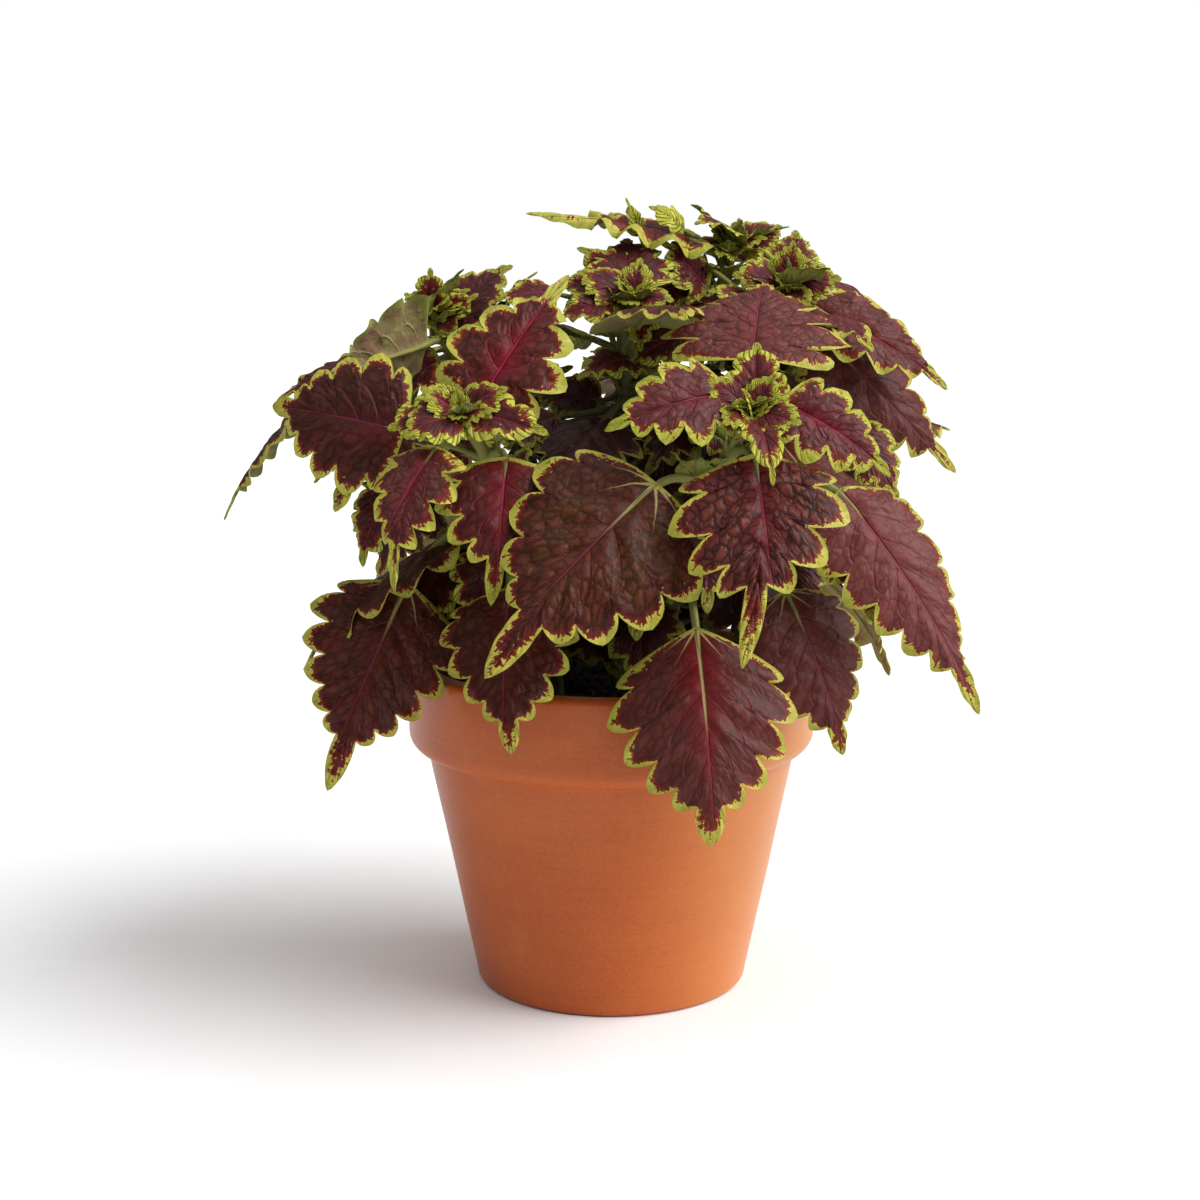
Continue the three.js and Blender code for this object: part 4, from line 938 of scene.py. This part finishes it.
def crumbs(chance, edge):
    """Crumbs of soil: small balls pressed flat and knocked out of round by their own draws, half sunk."""
    angle = 2 * np.pi * np.arange(8) / 7
    rise = np.radians(np.array([-90, -45, 0, 45, 90]))[:, None]
    ball = np.stack([np.cos(rise) * np.cos(angle), np.cos(rise) * np.sin(angle), np.sin(rise) + 0 * angle], -1)
    index = np.arange(ball.shape[0] * ball.shape[1]).reshape(ball.shape[:2])
    index[:, -1] = index[:, 0]
    index[0], index[-1] = index[0, 0], index[-1, 0]
    faces = triangles(index)
    lumps = []
    for _ in range(CRUMBS):
        r = (edge - 3) * math.sqrt(chance.uniform(0.02, 1))
        turn = chance.uniform(0, 2 * np.pi)
        size = 0.7 + 1.7 * chance.uniform() ** 2
        knocked = ball * (1 + 0.25 * chance.uniform(-1, 1, (*ball.shape[:2], 1))) * size
        knocked[:, -1] = knocked[:, 0]
        x, y = r * math.cos(turn), r * math.sin(turn)
        place = np.array([x, y, soil_height(x, y) + 0.2 * size])
        lumps.append({"points": (knocked * [1, 1, 0.7] + place).reshape(-1, 3), "faces": faces})
    return lumps


# ---------------------------------------------------------------- finishes
# One over the half widths of the tall ball round the plant's heart in which shade is painted into the colour, in
# metres.
HEART = (1 / 0.09, 1 / 0.09, 1 / 0.105)


def shade(code):
    """A colour written as in paint charts, as linear light with full cover."""
    parts = [int(code[i:i + 2], 16) / 255 for i in (1, 3, 5)]
    return (*[p / 12.92 if p <= 0.04045 else ((p + 0.055) / 1.055) ** 2.4 for p in parts], 1.0)


class Finish:
    """A finish in the making: its nodes, added one by one, and the shader that they feed."""

    def __init__(self, name, **constant):
        self.material = bpy.data.materials.new(name)
        self.material.use_nodes = True
        self.tree = self.material.node_tree
        self.shader = self.tree.nodes["Principled BSDF"]
        for key, value in constant.items():
            self.shader.inputs[key.replace("_", " ")].default_value = value

    def node(self, kind, inputs, **settings):
        """A node with its settings, each input given as a value or as the output that feeds it."""
        made = self.tree.nodes.new("ShaderNode" + kind)
        for key, value in settings.items():
            setattr(made, key, value)
        for key, value in inputs.items():
            if isinstance(value, bpy.types.NodeSocket):
                self.tree.links.new(value, made.inputs[key])
            else:
                made.inputs[key].default_value = value
        return made

    def maths(self, operation, *values):
        """One step of arithmetic on numbers."""
        return self.node("Math", dict(enumerate(values)), operation=operation).outputs[0]

    def note(self, name):
        """The three numbers noted at the piece's points under a name."""
        made = self.node("Attribute", {}, attribute_type="GEOMETRY", attribute_name=name)
        return made.outputs["Vector"]

    def split(self, vector):
        """The three numbers of a vector."""
        return list(self.node("SeparateXYZ", {0: vector}).outputs)

    def ramp(self, value, low, high):
        """0 below low, 1 above high, and an S-shaped rise between; falls where low is above high."""
        start, end, to = (low, high, (0.0, 1.0)) if low < high else (high, low, (1.0, 0.0))
        made = self.node("MapRange", {0: value, 1: start, 2: end, 3: to[0], 4: to[1]},
                         interpolation_type="SMOOTHSTEP")
        return made.outputs[0]

    def stretched(self, at, scale):
        """A place scaled by its own amount along each axis."""
        return self.node("VectorMath", {0: at, 1: scale}, operation="MULTIPLY").outputs[0]

    def joined(self, *values):
        """A vector of three numbers."""
        return self.node("CombineXYZ", dict(enumerate(values))).outputs[0]

    def grain(self, at, scale, detail=2.0, rough=0.5):
        """Soft noise round one half."""
        made = self.node("TexNoise", {"Vector": at, "Scale": scale, "Detail": detail, "Roughness": rough})
        return made.outputs[0]

    def grain_colour(self, at, scale):
        """Three soft noises at once."""
        return self.node("TexNoise", {"Vector": at, "Scale": scale, "Detail": 1.0}).outputs[1]

    def cells(self, at, scale, feature="F1"):
        """Cells scattered at random: the distance, and a chance colour for each where there is one."""
        made = self.node("TexVoronoi", {"Vector": at, "Scale": scale}, feature=feature)
        return made.outputs

    def mixed(self, share, a, b):
        """The colour a share of the way from a to b."""
        made = self.node("Mix", {0: share, 6: a, 7: b}, data_type="RGBA")
        return made.outputs[2]

    def bumped(self, height, distance, strength=1.0):
        """Leads a height, in shares of a distance in metres, to the shader's normal."""
        made = self.node("Bump", {"Height": height, "Distance": distance, "Strength": strength})
        self.tree.links.new(made.outputs[0], self.shader.inputs["Normal"])

    def lead(self, socket, value):
        """Leads an output to one of the shader's inputs."""
        self.tree.links.new(value, self.shader.inputs[socket])


def with_painted_shade(f, colour):
    """The colour darkened by painted shade towards the plant's heart, a tall ball round the stems."""
    at = f.node("TexCoord", {}).outputs["Object"]
    from_heart = f.node("VectorMath", {0: at, 1: (0.0, 0.005, 0.145)}, operation="SUBTRACT").outputs[0]
    far = f.node("VectorMath", {0: f.stretched(from_heart, HEART)}, operation="LENGTH").outputs["Value"]
    # Painted shade: up to 0.8 of near-black within the ball round the heart, none outside it.
    return f.mixed(f.maths("MULTIPLY", f.ramp(far, 1.0, 0.62), 0.8), colour, shade("#0f0903"))


def blade_face(name, upper):
    """The blade's finish. The lime band is what lies nearer the margin than the band's width; the maroon runs
    out into it in short teeth square to the margin, and in flecks, and pale dots lie just inside it. The blade
    is bronze or maroon, redder towards the band, with veins that are pale at the base and crimson beyond. The
    lower face is a dull purple-brown."""
    f = Finish(name, Specular_IOR_Level=0.13 if upper else 0.1)
    lay, (place, bronze, look) = f.note("lay"), f.split(f.note("rim"))
    pale, fade = f.maths("MINIMUM", f.maths("FLOOR", look), 1.0), f.maths("FRACT", look)
    lined = f.maths("SUBTRACT", f.maths("FLOOR", look), pale)
    (along, aside, shift), (crossed, away, pitch) = f.split(lay), f.split(f.note("edge"))
    (passed, across, far), (youth, glow, quilt) = f.split(f.note("vein")), f.split(f.note("tone"))
    on_rim = f.joined(place, f.maths("MULTIPLY", away, 0.4), shift)
    fray = f.grain(on_rim, 0.62, 3.0, 0.65)
    broad = f.grain(lay, 0.16, 1.0)
    fan = f.joined(f.maths("MULTIPLY", passed, 4.2), f.maths("MULTIPLY", across, 1.1), shift)
    streak = f.grain(fan, 1.0, 2.0)
    ragged = f.maths("MULTIPLY_ADD", f.maths("SUBTRACT", fray, 0.5), 4.2, crossed)
    ragged = f.maths("MULTIPLY_ADD", f.maths("SUBTRACT", broad, 0.5), 1.6, ragged)
    radial = f.maths("MULTIPLY", f.maths("SUBTRACT", streak, 0.5), f.maths("MULTIPLY_ADD", youth, -0.5, 2.0))
    ragged = f.maths("ADD", radial, ragged)
    lime = f.ramp(ragged, 1.1, 0.86)
    comb = f.maths("PINGPONG", f.maths("MULTIPLY_ADD", streak, 0.7, f.maths("MULTIPLY", passed, 4.0)), 0.5)
    # veins
    gap = f.maths("MULTIPLY", f.maths("PINGPONG", passed, 0.5), pitch)
    side_vein = f.ramp(gap, 0.6, 0.1)
    side_vein = f.maths("MULTIPLY", side_vein, f.ramp(across, 0.97, 0.4))
    wide = f.maths("MULTIPLY_ADD", far, -0.8, 1.15)
    middle = f.maths("DIVIDE", f.maths("ABSOLUTE", aside), wide)
    mid_vein = f.ramp(middle, 1.0, 0.4)
    off = f.maths("MULTIPLY", f.maths("ABSOLUTE", aside), 0.866)
    ray_vein = 0.0
    for lean in FINE["rays"]:
        lean = math.radians(lean)
        ahead = f.maths("MULTIPLY", along, math.sin(lean))
        line = f.maths("ABSOLUTE", f.maths("MULTIPLY_ADD", off, -math.cos(lean), ahead))
        line = f.ramp(f.maths("MULTIPLY_ADD", far, 3.2, line), 0.8, 0.3)
        ray_vein = f.maths("MAXIMUM", line, ray_vein)
    ray_vein = f.maths("MULTIPLY", ray_vein, pale)
    side_vein = f.maths("MULTIPLY", side_vein, f.ramp(far, 0.08, 0.24))
    wander = f.node("VectorMath", {0: f.stretched(f.grain_colour(lay, 0.5), (1.6, 1.6, 0.0)), 1: lay}, operation="ADD")
    fine = f.cells(f.stretched(wander.outputs[0], (1.0, 0.7, 1.0)), 0.34, "DISTANCE_TO_EDGE")[0]
    net = f.ramp(fine, 0.14, 0.0)
    # colours
    patch = f.grain(lay, 0.06, 2.0)
    mottle = f.grain(f.stretched(lay, (1.0, 0.5, 1.0)), 0.5, 3.0, 0.6)
    rusty = f.ramp(ragged, 2.6, 1.1)
    calm = f.maths("MULTIPLY", f.ramp(away, 0.5, 4.0), f.ramp(across, 0.08, 0.3))
    if upper:
        body = f.mixed(f.ramp(patch, 0.36, 0.64), shade("#481610"), shade("#34170b"))
        brown = f.mixed(f.ramp(patch, 0.36, 0.64), shade("#43270e"), shade("#46200d"))
        heart = f.maths("MULTIPLY", bronze, f.ramp(away, 1.5, 9.0))
        body = f.mixed(heart, body, brown)
        body = f.mixed(f.maths("MULTIPLY", f.ramp(mottle, 0.45, 0.75), 0.4), body, shade("#602a18"))
        # Painted highlight: the tops of the quilted cells are lightened as if lit.
        raised = f.maths("MULTIPLY", f.ramp(fine, 0.12, 0.4), f.maths("MULTIPLY", quilt, 0.22))
        body = f.mixed(f.maths("MULTIPLY", raised, calm), body, shade("#7c3a28"))
        warm = f.maths("MULTIPLY", f.ramp(across, 0.46, 0.0), f.ramp(far, 0.95, 0.3))
        # Paler dull purple-brown: partly the leaf's own tone, partly painted sheen from the lamp on the right.
        body = f.mixed(fade, body, shade("#7c4340"))
        body = f.mixed(f.maths("MULTIPLY", youth, 0.6), body, shade("#4e2a2e"))
        body = f.mixed(f.maths("MULTIPLY", warm, glow), body, shade("#720e19"))
        # Painted shade: near-black laid into the sunken net between the quilted cells, more where the quilting is deep.
        sunk = f.maths("MULTIPLY", net, f.maths("MULTIPLY_ADD", quilt, 0.36, 0.1))
        body = f.mixed(sunk, body, shade("#180705"))
        body = f.mixed(f.maths("MULTIPLY", rusty, 0.75), body, shade("#74201a"))
        blush = f.mixed(glow, shade("#5e2836"), shade("#9a2040"))
        strength = f.maths("MULTIPLY", mid_vein, f.maths("MULTIPLY_ADD", far, -0.5, 0.95))
        body = f.mixed(f.maths("MAXIMUM", strength, f.maths("MULTIPLY", side_vein, 0.33)), body, blush)
        wedge = f.ramp(f.maths("MULTIPLY_ADD", far, 1.6, f.maths("ABSOLUTE", aside)), 1.25, 0.7)
        wedge = f.maths("MULTIPLY", wedge, f.maths("MULTIPLY", f.ramp(far, 0.32, 0.08), pale))
        light = f.maths("MULTIPLY", f.maths("MULTIPLY", mid_vein, f.ramp(far, 0.55, 0.38)), lined)
        light = f.maths("MAXIMUM", f.maths("MULTIPLY", light, 0.85), f.maths("MAXIMUM", wedge, ray_vein))
        body = f.mixed(f.maths("MULTIPLY", light, 0.9), body, shade("#a9a364"))
        spots = f.cells(lay, 0.46)
        lone = f.maths("GREATER_THAN", f.split(spots[1])[0], 0.55)
        dotted = f.maths("MULTIPLY", f.ramp(spots[0], 0.22, 0.12), lone)
        dotted = f.maths("MULTIPLY", dotted, f.ramp(crossed, 4.2, 1.6))
        body = f.mixed(f.maths("MULTIPLY", dotted, 0.8), body, shade("#bd9a5c"))
        edging = f.mixed(f.ramp(ragged, 0.1, 1.0), shade("#a3a240"), shade("#c4b84f"))
        edging = f.mixed(f.maths("MULTIPLY", youth, 0.7), edging, shade("#c8c946"))
        edging = f.mixed(f.maths("MULTIPLY", f.ramp(mottle, 0.4, 0.7), 0.4), edging, shade("#7f8130"))
        lines = f.maths("MULTIPLY", f.ramp(comb, 0.17, 0.04), f.ramp(youth, 0.2, 0.6))
        edging = f.mixed(f.maths("MULTIPLY", lines, 0.75), edging, shade("#4a4418"))
        flecks = f.cells(on_rim, 1.1)
        some = f.maths("GREATER_THAN", f.split(flecks[1])[1], 0.45)
        flecked = f.maths("MULTIPLY", f.ramp(flecks[0], 0.42, 0.28), f.ramp(ragged, 0.35, 0.7))
        edging = f.mixed(f.maths("MULTIPLY", f.maths("MULTIPLY", flecked, some), 0.9), edging, shade("#5a211a"))
        amber = f.maths("MULTIPLY", f.ramp(ragged, 1.7, 1.0), f.maths("MAXIMUM", glow, youth))
        amber = f.maths("MULTIPLY", amber, f.ramp(broad, 0.42, 0.6))
        body = f.mixed(f.maths("MULTIPLY", amber, 0.6), body, shade("#a55f1e"))
        colour = f.mixed(lime, body, edging)
        gloss = f.maths("MULTIPLY_ADD", mottle, 0.25, 0.24)
    else:
        body = f.mixed(f.ramp(patch, 0.3, 0.7), shade("#7c5a4a"), shade("#98905c"))
        tinge = f.maths("MULTIPLY", f.ramp(mottle, 0.4, 0.75), f.ramp(away, 1.5, 6.0))
        body = f.mixed(f.maths("MULTIPLY", tinge, 0.5), body, shade("#4f2a2c"))
        body = f.mixed(f.maths("MULTIPLY", net, 0.35), body, shade("#7c7450"))
        body = f.mixed(f.maths("MULTIPLY", youth, 0.85), body, shade("#a0a546"))
        vein = f.maths("MAXIMUM", f.maths("MULTIPLY", side_vein, 0.75), mid_vein)
        body = f.mixed(f.maths("MULTIPLY", vein, 0.7), body, shade("#a5a06a"))
        colour = f.mixed(f.maths("MULTIPLY", lime, 0.75), body, shade("#8c9546"))
        gloss = f.maths("MULTIPLY_ADD", mottle, 0.2, 0.55)
    # Painted shade deepens the leaf colour towards the plant's heart.
    f.lead("Base Color", with_painted_shade(f, colour))
    f.lead("Roughness", gloss)
    cell = f.maths("MULTIPLY", f.ramp(fine, 0.0, 0.4), calm)
    relief = f.maths("MULTIPLY", cell, f.maths("MULTIPLY", quilt, 0.6 if upper else -0.3))
    vein = f.maths("MAXIMUM", f.maths("MULTIPLY", side_vein, 0.8), mid_vein)
    relief = f.maths("MULTIPLY_ADD", vein, -0.9 if upper else 1.4, relief)
    relief = f.maths("MULTIPLY_ADD", f.grain(lay, 1.4, 2.0), 0.2, relief)
    pleat = f.maths("MULTIPLY", f.maths("SINE", f.maths("MULTIPLY_ADD", passed, 18.85, shift)), calm)
    relief = f.maths("MULTIPLY_ADD", pleat, f.maths("MULTIPLY_ADD", youth, 0.2, 0.04), relief)
    gathers = f.maths("MULTIPLY", f.ramp(comb, 0.0, 0.3), f.maths("MULTIPLY", lime, youth))
    relief = f.maths("MULTIPLY_ADD", gathers, 1.2, relief)
    f.bumped(relief, 0.00045)
    return f.material


def stalk_skin():
    """Stems and leaf stalks: olive green, streaked along, paler in places and a little rosy in others."""
    f = Finish("stalk_skin", Specular_IOR_Level=0.3)
    lay = f.note("lay")
    streak = f.grain(f.stretched(lay, (0.16, 1.6, 1.0)), 1.0, 3.0)
    patch = f.grain(lay, 0.05, 2.0)
    body = f.mixed(f.ramp(patch, 0.35, 0.65), shade("#777836"), shade("#8f8d47"))
    body = f.mixed(f.maths("MULTIPLY", f.ramp(streak, 0.45, 0.7), 0.5), body, shade("#9aa058"))
    rosy = f.grain(f.stretched(lay, (0.5, 1.0, 1.0)), 0.12, 2.0)
    body = f.mixed(f.maths("MULTIPLY", f.ramp(rosy, 0.55, 0.72), 0.5), body, shade("#6e3a30"))
    # Painted shade deepens the stalk colour towards the plant's heart.
    f.lead("Base Color", with_painted_shade(f, body))
    f.lead("Roughness", f.maths("MULTIPLY_ADD", streak, 0.25, 0.42))
    f.bumped(f.maths("ADD", streak, f.grain(lay, 2.2, 2.0)), 0.00022)
    return f.material


def fired_clay():
    """Terracotta: an orange body with a fine grain, turning marks that run round it, a pale bloom in patches,
    a painted highlight that pales it towards the lamp on the right, darker towards the soil, and a few small dark pits."""
    f = Finish("fired_clay", Specular_IOR_Level=0.35)
    at = f.node("TexCoord", {}).outputs["Object"]
    x, y, z = f.split(at)
    grit = f.grain(at, 900.0, 3.0, 0.6)
    patch = f.grain(f.stretched(at, (1.0, 1.0, 1.6)), 16.0, 3.0)
    rings = f.grain(f.stretched(at, (0.02, 0.02, 1.0)), 620.0, 3.0, 0.7)
    body = f.mixed(f.ramp(patch, 0.3, 0.72), shade("#b25118"), shade("#bb5c1e"))
    body = f.mixed(f.maths("MULTIPLY", f.ramp(rings, 0.4, 0.7), 0.16), body, shade("#983f10"))
    body = f.mixed(f.maths("MULTIPLY", f.ramp(grit, 0.5, 0.75), 0.3), body, shade("#ca732e"))
    body = f.mixed(f.maths("MULTIPLY", f.ramp(grit, 0.5, 0.25), 0.3), body, shade("#913a0e"))
    bloom = f.grain(at, 38.0, 4.0, 0.6)
    body = f.mixed(f.maths("MULTIPLY", f.ramp(bloom, 0.58, 0.8), 0.3), body, shade("#c97c40"))
    # Painted highlight: paler clay towards +X, the side that faces the lamp on the right.
    body = f.mixed(f.maths("MULTIPLY", f.ramp(x, 0.0, 0.065), 0.45), body, shade("#e0a05a"))
    damp = f.maths("MULTIPLY", f.ramp(z, 0.1, 0.118), 0.18)
    body = f.mixed(damp, body, shade("#89350c"))
    pits = f.cells(at, 95.0)
    rare = f.maths("GREATER_THAN", f.split(pits[1])[0], 0.9)
    pit = f.maths("MULTIPLY", f.ramp(pits[0], 0.075, 0.04), rare)
    body = f.mixed(f.maths("MULTIPLY", pit, 0.75), body, shade("#5e2e1a"))
    f.lead("Base Color", body)
    f.lead("Roughness", f.maths("MULTIPLY_ADD", grit, 0.15, 0.28))
    relief = f.maths("MULTIPLY_ADD", rings, 0.5, grit)
    f.bumped(f.maths("MULTIPLY_ADD", pit, -2.0, relief), 0.00012)
    return f.material


def dark_soil():
    """Moist potting soil: nearly black, browner on its crumbs, with fine fibres that catch the light."""
    f = Finish("dark_soil", Specular_IOR_Level=0.25)
    at = f.node("TexCoord", {}).outputs["Object"]
    clod, fibre = f.grain(at, 260.0, 3.0, 0.6), f.grain(f.stretched(at, (1.0, 0.3, 1.0)), 900.0, 2.0)
    body = f.mixed(f.ramp(clod, 0.35, 0.7), shade("#15100d"), shade("#33251b"))
    body = f.mixed(f.maths("MULTIPLY", f.ramp(fibre, 0.62, 0.75), 0.5), body, shade("#5c452f"))
    f.lead("Base Color", body)
    f.lead("Roughness", f.maths("MULTIPLY_ADD", clod, 0.3, 0.65))
    f.bumped(f.maths("ADD", clod, fibre), 0.0009)
    return f.material


# ---------------------------------------------------------------- the stage
# The soft lamps: name, strength, then in degrees how wide, how high and how far round from the right.
LAMPS = [("side_lamp", 3.45, 56, 40, -13), ("top_lamp", 1.3, 100, 85, -60)]


def studio():
    """A wide pale floor in a white room, one broad soft lamp high on the right and a little in front, and a
    broader one overhead."""
    side = 9.0
    corners = np.array([[-side, -side, 0], [side, -side, 0], [side, side, 0], [-side, side, 0]])
    mesh = bpy.data.meshes.new("studio_floor")
    mesh.from_pydata(corners.tolist(), [], [(0, 1, 2, 3)])
    floor = bpy.data.objects.new("studio_floor", mesh)
    bpy.context.scene.collection.objects.link(floor)
    f = Finish("pale_floor", Roughness=0.9, Specular_IOR_Level=0.0)
    f.shader.inputs["Base Color"].default_value = (0.93, 0.93, 0.93, 1)
    mesh.materials.append(f.material)

    room = bpy.data.worlds.new("white_room")
    bpy.context.scene.world = room
    room.use_nodes = True
    nodes, links = room.node_tree.nodes, room.node_tree.links
    seen, light = nodes.new("ShaderNodeBackground"), nodes["Background"]
    seen.inputs["Color"].default_value = (1, 1, 1, 1)
    light.inputs["Color"].default_value = (1, 1, 1, 1)
    light.inputs["Strength"].default_value = 0.2
    path, choose = nodes.new("ShaderNodeLightPath"), nodes.new("ShaderNodeMixShader")
    links.new(path.outputs["Is Camera Ray"], choose.inputs[0])
    links.new(light.outputs[0], choose.inputs[1])
    links.new(seen.outputs[0], choose.inputs[2])
    links.new(choose.outputs[0], nodes["World Output"].inputs["Surface"])

    for name, energy, wide, rise, round_it in LAMPS:
        lamp = bpy.data.lights.new(name, "SUN")
        lamp.energy, lamp.angle = energy, math.radians(wide)
        held = bpy.data.objects.new(name, lamp)
        bpy.context.scene.collection.objects.link(held)
        rise, round_it = math.radians(rise), math.radians(round_it)
        level = math.cos(rise)
        beam = np.array([level * math.cos(round_it), level * math.sin(round_it), math.sin(rise)])
        held.rotation_euler = (math.pi / 2 - rise, 0, math.pi / 2 + round_it)
        held.location = beam * 2
    bpy.context.scene.view_settings.view_transform = "Standard"

    camera = bpy.data.cameras.new("camera")
    camera.lens, camera.sensor_width, camera.clip_end = 63, 36, 60
    stand = bpy.data.objects.new("camera", camera)
    bpy.context.scene.collection.objects.link(stand)
    stand.location = (-0.00425, -0.763, 0.277)
    stand.rotation_euler = (math.pi / 2 - 0.174, 0, 0)
    bpy.context.scene.camera = stand


# ---------------------------------------------------------------- putting it together
def cleared(leaves, held=0):
    """The leaves once they are turned clear of one another, all but the first, which are held."""
    keys = ("base", "tip", "face", "wide", "lobes", "arch", "fold", "notch", "sweep", "ripple", "veer",
            "body", "hinge", "rank", "stem", "posed", "turned", "chance")
    table = stacked([{key: leaf[key] for key in keys} for leaf in leaves])
    bend_clear(table, held)
    return [{**leaf, **{key: table[key][row] for key in ("base", "tip", "face")}}
            for row, leaf in enumerate(leaves)]


def plant():
    """All leaves in their places: the main pairs, the lesser ones among them, side shoots and buds."""
    every = range(len(STEMS))
    leaves = cleared([leaf for number in every for leaf in leaves_of(number)])
    leaves = cleared(leaves + [leaf for number in every for leaf in inner_leaves(number)], len(leaves))
    leaves += [leaf for number in every for leaf in [*side_shoots(number), *bud_leaves(number)]]
    finish_table(leaves)
    table = stacked(leaves)
    settle(table)
    return [{key: column[row] for key, column in table.items()} for row in range(len(leaves))]


studio()
faces_of_leaf = [blade_face("leaf_upper", True), blade_face("leaf_lower", False)]
skin = stalk_skin()
leaves = plant()
for number, stem in enumerate(STEMS):
    own = [leaf for leaf in leaves if leaf["stem"] == number]
    name = stem[0].removeprefix("stem_")
    piece("leaves_" + name, [stem[0]], gathered([blade(leaf) for leaf in own]), faces_of_leaf)
    stalks = [stem_body(number), *[leaf_stalk(leaf) for leaf in own]]
    piece("stalks_" + name, [stem[0]], gathered(stalks), [skin])
piece("clay_pot", ["pot"], gathered([pot_body()]), [fired_clay()])
piece("potting_soil", ["soil"], soil_body(np.random.default_rng(7)), [dark_soil()])
